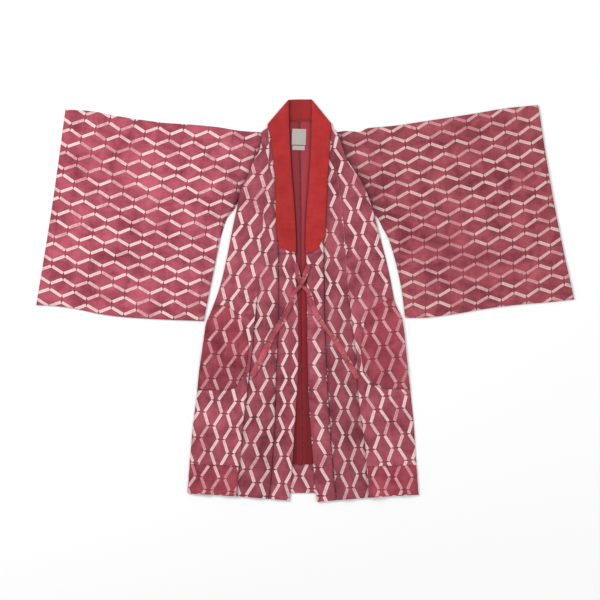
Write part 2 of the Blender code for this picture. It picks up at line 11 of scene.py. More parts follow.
import bpy
import numpy as np
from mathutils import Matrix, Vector


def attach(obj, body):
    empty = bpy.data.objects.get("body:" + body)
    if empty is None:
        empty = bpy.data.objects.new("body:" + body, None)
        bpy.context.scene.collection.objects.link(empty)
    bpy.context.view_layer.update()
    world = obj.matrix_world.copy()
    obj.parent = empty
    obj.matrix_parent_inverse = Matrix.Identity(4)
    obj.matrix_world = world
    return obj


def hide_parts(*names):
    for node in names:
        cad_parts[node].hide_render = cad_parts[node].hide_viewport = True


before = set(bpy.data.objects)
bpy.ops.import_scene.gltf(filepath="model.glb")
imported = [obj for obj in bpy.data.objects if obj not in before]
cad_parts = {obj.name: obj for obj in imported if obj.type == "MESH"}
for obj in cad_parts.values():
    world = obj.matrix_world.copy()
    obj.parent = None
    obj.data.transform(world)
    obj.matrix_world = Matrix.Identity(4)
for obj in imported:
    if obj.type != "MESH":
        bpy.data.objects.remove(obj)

MM = 0.001


def table(row, values):
    """Rows with their columns named."""
    return [row(*value) for value in values]


# Walls, in millimetres
CLOTH = 1.2
LINING = 1.0
BAND = 2.0
COLLAR = 1.6
TIE = 1.6
LABEL = 1.0

# Gaps, in millimetres: at a seam, and under a piece that lies on waved cloth
SEAM_GAP = 0.3
LAY_GAP = 0.6

# Levels of the undersides, in millimetres
BACK_LEVEL = 0.0
LINING_LEVEL = BACK_LEVEL + CLOTH + SEAM_GAP
BAND_LEVEL = LINING_LEVEL + LINING + SEAM_GAP
SLEEVE_HEIGHT = 3.4
ARMHOLE_LEVEL = SLEEVE_HEIGHT + SEAM_GAP
SIDE_LEVEL = LINING_LEVEL
COLLAR_LEVEL = max(BAND_LEVEL + BAND, ARMHOLE_LEVEL + CLOTH) + SEAM_GAP

# Front panels and their bands, in millimetres. Each row is a section across the coat: y is its
# place at the side edge, fold the pressed fold, seam the join of panel and band, edge the band's
# free edge, and drop how much lower the section lies at the seam than at the side.
FrontRow = namedtuple("FrontRow", "y side fold seam edge drop")
FRONT_LEFT = table(FrontRow, [
    (424, -107, -95, -88, -44, -14),
    (398, -110, -93, -82, -42, -8),
    (372, -115, -92, -78, -40, -4),
    (354, -127, -95, -76, -39, 0),
    (322, -139, -98, -73, -37, 0),
    (272, -162, -104, -71, -33, 0),
    (220, -173, -108, -70, -29, 0),
    (163, -185, -112, -68, -26, 0),
    (106, -196, -116, -67, -23, 0),
    (29, -215, -119, -66, -22, 0),
    (-13, -230, -122, -66, -18, 0),
    (-66, -250, -128, -67, -18, 0),
    (-118, -257, -132, -69, -17, 0),
    (-183, -266, -140, -72, -18, 0),
    (-236, -271, -146, -74, -21, 0),
    (-307, -280, -155, -75, -26, 2),
    (-386, -287, -162, -81, -31, 6),
    (-433, -291, -167, -84, -35, 10),
    (-482, -294, -171, -90, -39, 13),
])
FRONT_RIGHT = table(FrontRow, [
    (430, 72, 66, 61, 18, -8),
    (417, 80, 68, 60, 18, -5),
    (384, 93, 73, 58, 17, 0),
    (359, 101, 75, 56, 16, 0),
    (332, 118, 80, 55, 14, 0),
    (294, 143, 87, 52, 11, 0),
    (239, 165, 94, 50, 7, 0),
    (184, 180, 100, 48, 5, 0),
    (109, 200, 106, 47, 3, 0),
    (57, 212, 109, 48, 4, 0),
    (-3, 224, 112, 48, 4, 0),
    (-48, 243, 116, 49, 5, 0),
    (-128, 253, 127, 52, 6, 0),
    (-171, 257, 131, 54, 7, 0),
    (-228, 263, 133, 57, 8, 0),
    (-307, 271, 141, 62, 13, 0),
    (-371, 275, 151, 66, 18, 3),
    (-462, 282, 157, 75, 26, 9),
    (-485, 284, 160, 78, 29, 13.6),
])
DROP_POWER = 1.3
DROP_REACH = 1.3

# The pressed fold of each front: the side part laps over the inner part below its start
FOLD_START = 60
FOLD_FULL = -40
FOLD_HEIGHT = 3.0
FOLD_FOOT = 7

# Where the fronts lie on the sleeve ends, and where they are down on the back again
ARMHOLE_LOW = 205
ARMHOLE_OUT = 130

# Soft waves, each a ridge from one place to another in plan, in millimetres
Ridge = namedtuple("Ridge", "x0 y0 x1 y1 width height")
FRONT_WAVES = {
    "left": table(Ridge, [
        (-140, 262, -186, 40, 22, 3.2), (-93, 240, -100, -70, 14, 2.4),
        (-236, -246, -262, -600, 21, 3.6), (-200, -250, -208, -600, 15, 2.4),
        (-108, -110, -124, -600, 15, 3.0),
    ]),
    "right": table(Ridge, [
        (112, 290, 178, 62, 22, 3.6), (76, 230, 82, -60, 13, 2.2), (186, -246, 192, -600, 17, 2.8),
        (236, -250, 252, -600, 18, 3.2), (90, -120, 112, -600, 14, 3.0),
    ]),
}
SLEEVE_WAVES = {
    "left": table(Ridge, [
        (-150, 408, -262, 214, 15, 3.4), (-190, 398, -570, 424, 20, 2.6),
        (-250, 262, -640, 300, 27, 3.6), (-262, 128, -660, 128, 24, 3.0), (-300, 18, -640, 34, 18, 2.4),
    ]),
    "right": table(Ridge, [
        (120, 408, 204, 262, 13, 4.0), (170, 412, 600, 446, 19, 2.6), (214, 300, 640, 330, 26, 3.6),
        (250, 168, 650, 186, 25, 3.2), (290, 26, 650, 62, 20, 2.6),
    ]),
}
WAVE_CLEAR = 26
SLEEVE_WAVE_START = 24
SLEEVE_WAVE_FULL = 60

# Sleeves: each row is a section from the top fold to the bottom seam, body end first
SleeveRow = namedtuple("SleeveRow", "reach top_x top_y bottom_x bottom_y")
SLEEVE_LEFT = table(SleeveRow, [
    (0.000, -95, 420, -254, -51),
    (0.125, -158, 424, -306, -49),
    (0.250, -221, 434, -358, -47),
    (0.375, -284, 440, -411, -44),
    (0.500, -347, 444, -463, -40),
    (0.625, -410, 452, -515, -33),
    (0.750, -473, 462, -567, -22),
    (0.875, -536, 474, -620, -14),
    (1.000, -599, 478, -672, -11),
])
SLEEVE_RIGHT = table(SleeveRow, [
    (0.000, 64, 419, 250, -43),
    (0.080, 105, 424, 284, -43),
    (0.137, 135, 422, 308, -42),
    (0.180, 157, 431, 326, -40),
    (0.286, 212, 436, 370, -34),
    (0.500, 323, 452, 460, -19),
    (0.700, 426, 468, 545, -9),
    (0.850, 504, 481, 608, -4),
    (1.000, 582, 489, 672, 3),
])
CUFF_BOW = {"left": 3, "right": -6}

# The sleeve's inner edge: under the front along the armhole, then free
ARMHOLE_LAP = {"left": 12, "right": 19}
ARMHOLE_STATIONS = {"left": [420, 398, 372, 354, 322, 272], "right": [419, 384, 359, 332, 294, 239]}
FreeEdge = namedtuple("FreeEdge", "y x")
FREE_EDGE = {
    "left": table(FreeEdge, [
        (249, -173), (224, -187), (202, -204), (155, -213), (29, -238), (-51, -254),
    ]),
    "right": table(FreeEdge, [
        (222, 163), (212, 177), (179, 195), (150, 210), (32, 240), (-43, 250),
    ]),
}
FREE_EDGE_FADE = 0.3

# The left sleeve's back layer shows past its front layer just under the armhole
BACK_LAYER_REACH = {"left": 7, "right": 0}
BACK_LAYER_HIGH = 272
BACK_LAYER_LOW = 140
BACK_LAYER_EASE = 32
BACK_LAYER_FADE = 12

# The back panels lie inside the fronts' outline and beside the sleeve ends
BackRow = namedtuple("BackRow", "y inset_left inset_right centre")
BACK = table(BackRow, [
    (424, 14, 15, -13),
    (398, 14, 21, -13),
    (272, 14, 21, -11),
    (239, 8, 21, -11),
    (224, 4, 14, -10),
    (208, 3, 5, -10),
    (190, 2.5, 2.5, -10),
    (-480, 2.5, 2.5, -5),
])
NECK_Y = 448.6
NECK_POWER = 2.5
NECK_RUN = 120

# Lining and hem facing, which show between the bands
LINING_LEFT_X = -54
LINING_RIGHT_X = 33
LINING_TOP = 449.4
LINING_FOOT = -409
FACING_LEFT_X = -52
FACING_RIGHT_X = 44
FACING_FOOT = -480.5

# Over-collar: each row joins its outer and inner edge, from the rounded end up to the neck
CollarRow = namedtuple("CollarRow", "outer_x outer_y inner_x inner_y")
COLLAR_LEFT = table(CollarRow, [
    (-38, 123, -23, 120.5),
    (-55, 130, -23, 127),
    (-65, 139, -23, 137),
    (-68, 152, -23, 151),
    (-73, 199, -25, 199),
    (-74, 282, -31, 282),
    (-80, 352, -36, 352),
    (-88, 415, -39, 415),
    (-94, 434, -40, 437),
    (-94, 438, -40, 449),
    (-93, 441, -41, 475),
])
COLLAR_RIGHT = table(CollarRow, [
    (20, 122, 1, 119),
    (34, 135, 1, 129),
    (42, 151, 1, 142),
    (50, 160, 1, 156),
    (52, 213, 3, 213),
    (55, 282, 8, 282),
    (59, 347, 13, 350),
    (62, 399, 15, 400),
    (65, 436, 16, 437),
    (65, 441, 16, 450),
    (63, 445, 17, 476),
])
COLLAR_SIDES = {"left": COLLAR_LEFT, "right": COLLAR_RIGHT}
COLLAR_TURN = {"left": CollarRow(-92, 443, -42, 501), "right": CollarRow(61, 447, 17, 501)}
COLLAR_BACK = table(CollarRow, [
    (-68, 446, -42, 502),
    (-41, 449, -41, 502),
    (-13, 450, -13, 503),
    (16, 450, 16, 503),
    (38, 449, 17, 502),
])
COLLAR_BACK_LEVEL = COLLAR / 2
COLLAR_FRONT_LEVEL = COLLAR_LEVEL + COLLAR / 2

# Pockets: the inner edge; the mouth is the side edge of the front
PocketRow = namedtuple("PocketRow", "y inner")
POCKETS = {
    "left": table(PocketRow, [
        (-11, -210), (-16, -193), (-28, -173), (-58, -155), (-111, -141), (-158, -146), (-201, -163),
        (-218, -177), (-224, -192),
    ]),
    "right": table(PocketRow, [
        (4, 211), (-3, 196), (-21, 165), (-61, 147), (-123, 139), (-176, 146), (-206, 166), (-218, 188),
        (-221, 200),
    ]),
}
POCKET_INSET = 1.0

# Hem patches run from the side to the pressed fold
PATCH_TOP = {"left": -408, "right": -411}
PATCH_INSET = 2.0

# Ties: the points each one passes, from its band to its free end
TiePoint = namedtuple("TiePoint", "x y width")
TIES = {
    "left": table(TiePoint, [
        (-25, 93, 13), (-18, 64, 12), (-9, 38, 8), (7, 24, 11), (14, 4, 14), (24, -25, 14),
        (46, -62, 14), (76, -100, 15), (105, -149, 15), (131, -193, 14),
    ]),
    "right": table(TiePoint, [
        (9, 90, 13), (-1, 62, 12), (-11, 38, 8), (-27, 20, 11), (-32, 0, 14), (-46, -27, 15),
        (-63, -58, 16), (-83, -88, 16), (-108, -142, 16), (-133, -188, 15),
    ]),
}
TIE_CROSSING = 0.7

# Labels on the lining: centre, half width, half height and lean in degrees
Tape = namedtuple("Tape", "x y width height lean")
TAPES = {
    "label": Tape(-15.5, 409, 35, 40, -2),
    "size_tab": Tape(-16.5, 381.5, 31, 11, -2),
}

# Finer creases that only show, each sharper than a wave
FRONT_CREASES = {
    "left": table(Ridge, [
        (-118, 330, -168, 232, 6, 1.8), (-100, 300, -134, 120, 7, 1.4), (-215, -226, -282, -262, 6, 1.6),
        (-150, -240, -158, -420, 8, 1.6), (-232, -300, -246, -560, 7, 1.8),
        (-272, -270, -282, -560, 6, 1.4), (-185, 20, -215, -10, 6, 1.2),
        (-100, -180, -106, -420, 6, 1.6),
    ]),
    "right": table(Ridge, [
        (96, 330, 148, 226, 6, 1.8), (88, 300, 118, 110, 7, 1.4), (200, -226, 266, -268, 6, 1.6),
        (168, -230, 172, -420, 8, 1.6), (214, -280, 222, -560, 7, 1.8), (258, -270, 268, -560, 6, 1.4),
        (180, 26, 208, -6, 6, 1.2), (98, -180, 110, -430, 6, 1.6),
    ]),
}
SLEEVE_CREASES = {
    "left": table(Ridge, [
        (-108, 392, -152, 428, 4, 2.0), (-112, 372, -176, 402, 5, 2.4), (-122, 352, -188, 352, 5, 2.0),
        (-136, 320, -212, 306, 5, 2.2), (-152, 290, -232, 262, 5, 1.8), (-170, 258, -262, 196, 6, 2.4),
        (-150, 396, -330, 372, 8, 1.6), (-200, 330, -420, 270, 10, 1.6), (-240, 190, -430, 120, 10, 1.8),
        (-250, 90, -330, -30, 8, 1.6),
    ]),
    "right": table(Ridge, [
        (92, 396, 132, 420, 4, 2.4), (104, 378, 160, 404, 5, 2.8), (112, 356, 176, 366, 5, 2.4),
        (126, 330, 186, 322, 5, 2.6), (148, 300, 214, 280, 5, 2.2), (166, 268, 250, 214, 6, 2.4),
        (140, 400, 330, 388, 8, 1.6), (190, 340, 420, 300, 10, 1.6), (230, 200, 430, 140, 10, 1.8),
        (244, 96, 330, -14, 8, 1.6),
    ]),
}
POCKET_CREASES = {
    "left": table(Ridge, [
        (-262, -70, -170, -44, 6, 1.8), (-262, -120, -160, -150, 7, 1.6),
        (-250, -190, -170, -176, 6, 1.4),
    ]),
    "right": table(Ridge, [
        (250, -60, 160, -50, 6, 1.8), (250, -110, 158, -140, 7, 1.6), (246, -190, 170, -172, 6, 1.4),
    ]),
}
LINING_CREASES = table(Ridge, [
    (-26, 360, -22, 120, 5, 1.4), (2, 300, -2, 60, 4, 1.2), (-14, 60, -10, -240, 4, 1.0),
])

# The lap's ramp on the side part, and where its pressed section starts, from the fold
LAP_REACH = 42
LAP_FLAT = 9
LAP_START = 1.125

# Across a pressed fold: how far past its edge, and height over the cloth below, both pressed
LAP_SECTION = [
    (-0.4, 2.85),
    (-0.1, 2.6),
    (0.0, 2.2),
    (-0.1, 1.8),
    (-0.5, 1.5),
    (-2.5, 1.35),
    (-6.0, 1.25),
    (-8.2, 0.8),
    (-8.6, 0.4),
    (-7.6, 0.02),
    (-4.0, 0.0),
    (0.0, 0.0),
    (2.5, 0.0),
    (5.0, 0.0),
]
LAP_TUCKED = 8
PUCKER_START = 14
PUCKER_FULL = 34

# How fine the shown pieces are
FRONT_ROWS = 280
OUTER_COLUMNS = 62
INNER_COLUMNS = 30
SLEEVE_ROWS = 190
SLEEVE_CROWDING = 1.25
SLEEVE_UNDER_SHOWN = 40
SLEEVE_OVER_SHOWN = 120
SLEEVE_EDGE_SHOWN = 8
COLLAR_ROWS = 130
COLLAR_TURN_ROWS = 14
COLLAR_BACK_ROWS = 50
COLLAR_ACROSS = 26
TIE_STEPS = 220

# Colours as seen, red, green and blue from 0 to 255: the ground's deep and pale, and the dashes
PrintTone = namedtuple("PrintTone", "deep pale dash fade")
BODY_TONE = PrintTone((112, 42, 56), (176, 86, 100), (230, 198, 196), 0.32)
SLEEVE_TONE = {
    "left": PrintTone((122, 44, 58), (188, 90, 106), (232, 200, 198), 0.4),
    "right": PrintTone((106, 38, 50), (172, 82, 92), (214, 176, 172), 0.5),
}
PATCH_TONE = PrintTone((112, 38, 50), (172, 74, 88), (226, 180, 180), 0.75)
TIE_TONE = PrintTone((122, 38, 52), (196, 96, 108), (214, 140, 146), 0.8)
BAR_FAINT = (196, 112, 124)
BAR_DOT = (120, 70, 76)
NODE_LINE = (84, 44, 54)
SEAM_SHADE = (58, 16, 24)
LINING_HIGH = (162, 54, 64)
LINING_LOW = (146, 30, 36)
# Painted shade colour of the lining: its left half and its crease streaks are darkened towards it
LINING_PAINTED_SHADE = (96, 20, 30)
COLLAR_DEEP = (150, 28, 30)
COLLAR_PALE = (184, 50, 50)
TAPE_DEEP = (150, 144, 140)
TAPE_PALE = (190, 184, 178)

# Shading of the cloth in its seams and folds, as shares
BACK_SHADE = 0.3
FACING_SHADE = 0.12
INNER_SHADE = {"left": 0.1, "right": 0.2}
LINING_SHADE = {"left": 0.22, "right": 0.06}
ARMHOLE_SHADE = {"left": 6, "right": 12}
COLLAR_SHADE_LEFT = 0.12
COLLAR_SHADE_BACK = 0.3
COLLAR_FOOT = 119

# Places where the print is worn off
Worn = namedtuple("Worn", "x y wide high amount")
WORN = table(Worn, [
    (134, 58, 42, 60, 0.9), (320, 150, 90, 60, 0.7), (450, 90, 110, 50, 0.5), (430, 440, 130, 30, 0.4),
    (-560, 330, 60, 50, 0.4), (-380, 190, 80, 40, 0.4), (-200, -150, 50, 60, 0.4),
    (200, -140, 50, 60, 0.4),
])

# The print's bars and the line at their nodes, in millimetres
BAR_HALF = 3.6
BAR_CORNER = 1.4
BAR_GAP = 3.0
NODE_LINE_HALF = 11.0

# How much of its width a tie keeps along its run, in millimetres from its band
TIE_PINCH = {
    "left": lambda run: 1 - 0.35 * np.exp(-((run - 190) / 22) ** 2),
    "right": lambda run: 1 - 0.12 * np.exp(-((run - 150) / 30) ** 2),
}

# The print's place on a piece: a point, the chain and row there, their pitch, and how they lean
# (per unit), bend, flare, tilt and sag (per metre). Chains run down the body and along a sleeve.
Placement = namedtuple("Placement", "x y chain row pitch step lean bend flare tilt sag")
PRINT = {name: Placement(*values) for name, values in {
    "sleeve_left": (-412, 215, 0.45, 0.61, 28.7, 31.4, 0.087, -0.11, -0.04, -0.125, 0.14),
    "sleeve_right": (402, 224, 0.06, 0.44, 28.6, 31.5, -0.139, -0.15, 0.13, 0.055, -0.10),
    "left_side_high": (-162, 123, 1.58, 0.09, 30.9, 32.1, -0.236, -0.07, -0.39, 0.092, -0.25),
    "left_side_low": (-217, -316, 3.15, 13.09, 28.9, 32.1, -0.149, 0.36, -0.29, 0.072, -0.35),
    "left_inner_high": (-110, 174, 2.98, -1.73, 27.2, 31.4, -0.198, -0.06, -0.01, 0.063, -0.05),
    "left_inner_low": (-108, -257, 5.00, 11.97, 29.7, 31.3, -0.119, -0.09, 0.19, -0.035, -0.06),
    "right_side_high": (115, 153, 0.78, 0.29, 29.1, 31.5, 0.158, -0.14, 0.20, -0.078, -0.12),
    "right_side_low": (208, -315, 1.18, 14.38, 29.8, 32.5, 0.166, -0.39, 0.48, -0.057, 0.13),
    "right_inner_low": (98, -269, -1.47, 12.93, 27.8, 31.5, 0.081, 0, -0.01, 0, -0.18),
    "band_left": (-47, -194, 1.24, -0.02, 26.7, 31.2, -0.042, -0.09, 0.24, 0.012, 0.30),
    "band_right": (33, -203, 1.08, 0.34, 32.8, 31.2, 0.037, 0.20, -0.16, 0.053, -0.01),
    "facing": (-6, -446, 1.78, 0.25, 29.5, 31.5, 0.065, -0.05, -0.46, 0.009, 0.02),
    "patch_left": (-228, -450, 0.87, 0.34, 29.4, 30.2, -0.138, 0.03, 0.49, 0.032, -0.33),
    "patch_right": (220, -448, 1.55, 0.30, 28.5, 30.7, 0.069, -0.24, -0.05, 0.037, -0.03),
    "pocket_left": (-205, -124, 1.11, 0.62, 30.2, 30.7, -0.212, 0.51, -0.35, 0.068, -0.81),
    "pocket_right": (199, -118, 1.61, 0.19, 30.5, 32.0, 0.114, -0.20, 0.25, -0.075, -0.09),
}.items()}
PRINT["right_inner_high"] = PRINT["right_inner_low"]
CHAIN_PITCH = 28.8
ROW_STEP = 31.3
SWING = 0.27

# How the cloth takes the light
SHEEN_ROUGHNESS = 0.5
SPECULAR = 0.25

# Thickness of the cloth that shows, and its rounded edges
CLOTH_SHOWN = 0.9
BAND_SHOWN = 1.7
LINING_SHOWN = 0.7
FACING_SHOWN = 0.8
COLLAR_SHOWN = 1.4
TIE_SHOWN = 1.0
TAPE_SHOWN = 0.6
EDGE_ROUND = 0.3
EDGE_ROLL = 2.2


def through(knots):
    """A smooth function through (place, value) knots that doesn't overshoot them."""
    places, values = np.array(sorted(knots), float).T
    steps = np.diff(places)
    rises = np.diff(values) / steps
    before, after = rises[:-1], rises[1:]
    same_way = before * after > 0
    total = np.where(same_way, before + after, 1)
    turns = np.where(same_way, 2 * before * after / total, 0)
    slopes = np.concatenate([rises[:1], turns, rises[-1:]])

    def value_at(place):
        place = np.clip(place, places[0], places[-1])
        i = np.clip(np.searchsorted(places, place, side="right") - 1, 0, len(steps) - 1)
        u = (place - places[i]) / steps[i]
        rest = 1 - u
        ends = (1 + 2 * u) * rest * rest * values[i] + u * u * (3 - 2 * u) * values[i + 1]
        pull = u * rest * rest * slopes[i] - u * u * rest * slopes[i + 1]
        return ends + steps[i] * pull

    return value_at


def column(rows, name, key="y"):
    """One column of a table as a smooth function of another."""
    return through([(getattr(row, key), getattr(row, name)) for row in rows])


def tracks(places, rows):
    """Every column of a table as a smooth function of the rows' places."""
    return [through(zip(places, values)) for values in zip(*rows)]


def ease(value, low, high):
    """0 below low, 1 above high, and a smooth step between them."""
    u = np.clip((value - low) / (high - low), 0.0, 1.0)
    return u * u * (3 - 2 * u)


def mix(a, b, share):
    return a + (b - a) * share


def ridge_height(ridge, x, y, sharpness):
    """Height of one soft wave, or of a crease where the sharpness is near 1."""
    run_x = ridge.x1 - ridge.x0
    run_y = ridge.y1 - ridge.y0
    length = math.hypot(run_x, run_y)
    along = ((x - ridge.x0) * run_x + (y - ridge.y0) * run_y) / length
    across = ((x - ridge.x0) * run_y - (y - ridge.y0) * run_x) / length
    taper = ease(along, 0, 0.3 * length) * ease(length - along, 0, 0.3 * length)
    return ridge.height * taper * np.exp(-(np.abs(across / ridge.width) ** sharpness))


def ridges(rows, x, y, sharpness=2.0):
    """Height of all the waves or creases of a table."""
    return sum(ridge_height(ridge, x, y, sharpness) for ridge in rows)


def ripples(x, y, size, seed, stretch=1.0):
    """Uneven soft ripples from 0 to 1, about so many millimetres from crest to crest."""
    draw = random.Random(seed)
    total = 0
    for _ in range(7):
        angle = draw.uniform(0, math.pi)
        length = size * draw.uniform(0.7, 1.5)
        wave = (x * math.cos(angle) + y * math.sin(angle) * stretch) / length
        bend = 0.8 * np.sin((y * math.cos(angle) - x * math.sin(angle)) / length * draw.uniform(0.8, 1.6))
        total = total + np.sin(math.tau * wave + bend + draw.uniform(0, math.tau))
    return 0.5 + 0.5 * np.tanh(total / 3)


def worn_at(x, y):
    """How far the print is worn off at a place in plan."""
    total = 0
    for spot in WORN:
        away = ((x - spot.x) / spot.wide) ** 2 + ((y - spot.y) / spot.high) ** 2
        total = total + spot.amount * np.exp(-away)
    return total


def shadow(distance, reach, strength):
    """Shading that fades away from a seam or an edge."""
    return strength * np.exp(-np.maximum(distance, 0) / reach)


def print_at(place, x, y, along_sleeve=False):
    """Chain and row of the print at a place in plan."""
    spot = PRINT[place]
    a, b = x - spot.x, spot.y - y
    if along_sleeve:
        a, b = b, a
    chain = spot.chain + (a - spot.lean * b - (spot.bend * b + spot.flare * a) * b / 1000) / spot.pitch
    row = spot.row + (b - spot.tilt * a - spot.sag * a * a / 1000) / spot.step
    return chain, row


def blend_prints(first, second, share):
    return tuple(mix(a, b, share) for a, b in zip(first, second))


class Front:
    """One front panel with its band: its columns, and the height of its cloth over the plan."""

    def __init__(self, side, rows):
        self.name = side
        for line in ("side", "fold", "seam", "edge", "drop"):
            setattr(self, line, column(rows, line))
        self.top = rows[0].y
        self.foot = rows[-1].y
        self.inward = 1 if side == "left" else -1

    def share(self, x, y):
        """How far across the panel a place is, from its side to its seam."""
        return (x - self.side(y)) / (self.seam(y) - self.side(y))

    def place(self, x, y):
        """A point of section y in plan, lowered by the section's drop."""
        return x, y - self.drop(y) * np.clip(self.share(x, y), 0, DROP_REACH) ** DROP_POWER

    def pressed(self, y):
        return ease(-y, -FOLD_START, -FOLD_FULL)

    def base(self, x, y):
        """Height of the cloth's top without the pressed fold."""
        armhole = ease(y, ARMHOLE_OUT, ARMHOLE_LOW)
        side = mix(SIDE_LEVEL, ARMHOLE_LEVEL, armhole)
        seam = mix(BAND_LEVEL, ARMHOLE_LEVEL, armhole)
        level = mix(side, seam, ease(self.share(x, y), 0, 1))
        inside = np.abs(self.seam(y) - x)
        waves = ridges(FRONT_WAVES[self.name], x, y)
        waves = waves + ridges(FRONT_CREASES[self.name], x, y, 1.4)
        waves = waves + 0.7 * ripples(x, y, 62, 3 + self.inward) * ease(inside, 0, 20)
        return level + CLOTH + waves * ease(inside, 0, WAVE_CLEAR)

    def top_height(self, x, y):
        """Height of the uppermost layer's top."""
        past = (x - self.fold(y)) * self.inward
        lap = FOLD_HEIGHT * self.pressed(y) * np.where(past < 0, ease(past, -LAP_REACH, -LAP_FLAT), 0)
        return self.base(x, y) + lap

    def print_place(self, x, y, inner):
        """Chain and row of the print on the side part or the inner part."""
        side_part = blend_prints(
            print_at(f"{self.name}_side_high", x, y),
            print_at(f"{self.name}_side_low", x, y),
            ease(-y, 95, 160),
        )
        inner_part = blend_prints(
            print_at(f"{self.name}_inner_high", x, y),
            print_at(f"{self.name}_inner_low", x, y),
            ease(-y, -75, 20),
        )
        return blend_prints(side_part, inner_part, inner)

    def dark(self, x, y):
        """Shading of the panel along its seams, its fold and the over-collar."""
        past = (x - self.fold(y)) * self.inward
        pressed = self.pressed(y)
        inner = np.where(past > 0, 1.0, 0.0)
        by_fold = inner * (shadow(past, 5, 0.5) + INNER_SHADE[self.name]) * (0.25 + 0.75 * pressed)
        by_fold = by_fold + (1 - inner) * shadow(-past, 1.2, 0.35) * pressed
        from_seam = np.abs(x - self.seam(y))
        by_seam = shadow(from_seam, 2.2, 0.55) + shadow(from_seam, 12, 0.18)
        by_collar = shadow(np.abs(x - COLLAR_OUTER[self.name](y)), 3.5, 0.5) * ease(y, 118, 135)
        by_side = shadow(np.abs(x - self.side(y)), 2.0, 0.25)
        return by_fold + by_seam + by_collar + by_side


def cloth(name, x, y, z, print_place=(), dark=0.0, thickness=CLOTH_SHOWN, offset=-1, closed=False):
    """A piece of cloth from rows and columns of places, thickened below them.

    print_place is the chain and row of the print, and dark how far it is shaded in seams and folds.
    """
    rows, columns = x.shape
    points = np.stack([x, y, z], axis=-1).reshape(-1, 3) * MM
    number = np.arange(rows * columns).reshape(rows, columns)
    right = np.roll(number, -1, axis=1) if closed else number[:, 1:]
    left = number if closed else number[:, :-1]
    quads = np.stack([left[:-1], right[:-1], right[1:], left[1:]], axis=-1).reshape(-1, 4)
    mesh = bpy.data.meshes.new(name)
    mesh.from_pydata(points.tolist(), [], quads.tolist())
    chain, row = print_place or (x / CHAIN_PITCH, y / ROW_STEP)
    corners = np.empty(len(mesh.loops), dtype=np.int32)
    mesh.loops.foreach_get("vertex_index", corners)
    # The tone layer holds the painted shade of seams and folds, and how far the print is worn off
    for layer_name, pair in (("print", (chain, row)), ("tone", (dark + 0 * x, worn_at(x, y)))):
        values = np.stack(pair, axis=-1).reshape(-1, 2)
        layer = mesh.uv_layers.new(name=layer_name)
        layer.data.foreach_set("uv", values[corners].astype(np.float32).ravel())
    mesh.shade_smooth()
    piece = bpy.data.objects.new(name, mesh)
    bpy.context.scene.collection.objects.link(piece)
    solidify = piece.modifiers.new("Thickness", "SOLIDIFY")
    solidify.thickness = thickness * MM
    solidify.offset = offset
    bevel = piece.modifiers.new("Rounded edge", "BEVEL")
    bevel.width = EDGE_ROUND * MM
    bevel.segments = 2
    bevel.limit_method = "ANGLE"
    bevel.angle_limit = math.radians(60)
    return piece


def side_cloth(name, side, x, y, z, print_place, dark, thickness=CLOTH_SHOWN):
    """A piece of one side, its columns put from left to right so that its face is up."""
    step = -1 if side == "right" else 1
    parts = (x, y, z, dark + 0 * x, *print_place)
    x, y, z, dark, *print_place = (part[:, ::step] for part in parts)
    return cloth(f"{name}_{side}", x, y, z, print_place, dark, thickness)


def sew_on(piece, material, node, flat):
    """Give a piece its material, hang it on the root body and hide the solid it stands for; flat, how its
    cloth was cut, is not used.
    """
    piece.data.materials.append(material)
    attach(piece, "root")
    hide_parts(node)


def grid(x_count, y_count):
    """Shares from 0 to 1 across and up a piece, as two grids."""
    return np.meshgrid(np.linspace(0, 1, x_count), np.linspace(0, 1, y_count))


def rolled(distance, depth=0.7):
    """How far a cloth's top comes down near an edge at a distance."""
    return depth * np.clip(1 - distance / EDGE_ROLL, 0, 1) ** 2


def make_front(side, front):
    y = np.linspace(front.foot, front.top, FRONT_ROWS)[:, None]
    outer = np.linspace(0, 1, OUTER_COLUMNS)[None, :]
    edge_x, fold_x, seam_x = front.side(y), front.fold(y), front.seam(y)
    x_outer = mix(edge_x, fold_x - front.inward * LAP_START, outer)
    z_outer = front.top_height(x_outer, y) - rolled(np.abs(x_outer - edge_x))
    pressed = front.pressed(y)
    foot = np.minimum(FOLD_FOOT, 0.3 * np.abs(seam_x - fold_x))
    offsets, heights = np.array(LAP_SECTION).T[:, None, :]
    opened = mix(-LAP_START, foot, np.linspace(0, 1, len(LAP_SECTION) + 1)[None, 1:])
    x_lap = fold_x + front.inward * mix(opened, offsets, pressed)
    z_lap = front.base(fold_x + 0 * x_lap, y) + pressed * heights
    inner = np.linspace(0, 1, INNER_COLUMNS + 1)[None, 1:]
    x_inner = mix(x_lap[:, -1:], seam_x, inner)
    z_inner = front.base(x_inner, y) - rolled(np.abs(x_inner - seam_x), 1.4)
    x = np.concatenate([x_outer, x_lap, x_inner], axis=1)
    z = np.concatenate([z_outer, z_lap, z_inner], axis=1)
    y = y + 0 * x
    past_lap = np.arange(x.shape[1])[None, :] > OUTER_COLUMNS + LAP_TUCKED
    print_place = front.print_place(x, y, past_lap.astype(float))
    return side_cloth("front_panel", side, *front.place(x, y), z, print_place, front.dark(x, y))


def make_band(side, front):
    share, up = grid(18, FRONT_ROWS)
    y = mix(front.foot, front.top, up)
    outer = front.seam(y) + front.inward * SEAM_GAP
    x = mix(outer, front.edge(y), share)
    from_seam = np.abs(x - outer)
    from_edge = np.abs(x - front.edge(y))
    z = BAND_LEVEL + BAND - rolled(from_seam, 1.0) - rolled(from_edge, 0.5)
    z = z + 0.5 * ripples(x, y, 55, 8, 0.4) * ease(share, 0, 0.3) * ease(1 - share, 0, 0.3)
    print_place = print_at(f"band_{side}", x, y)
    dark = shadow(from_seam, 1.8, 0.6) + shadow(from_seam, 9, 0.15) + shadow(from_edge, 1.5, 0.35)
    dark = dark + shadow(COLLAR_FOOT - y, 4, 0.5) * ease(COLLAR_FOOT - y, -3, 0)
    return side_cloth("front_band", side, *front.place(x, y), z, print_place, dark, BAND_SHOWN)


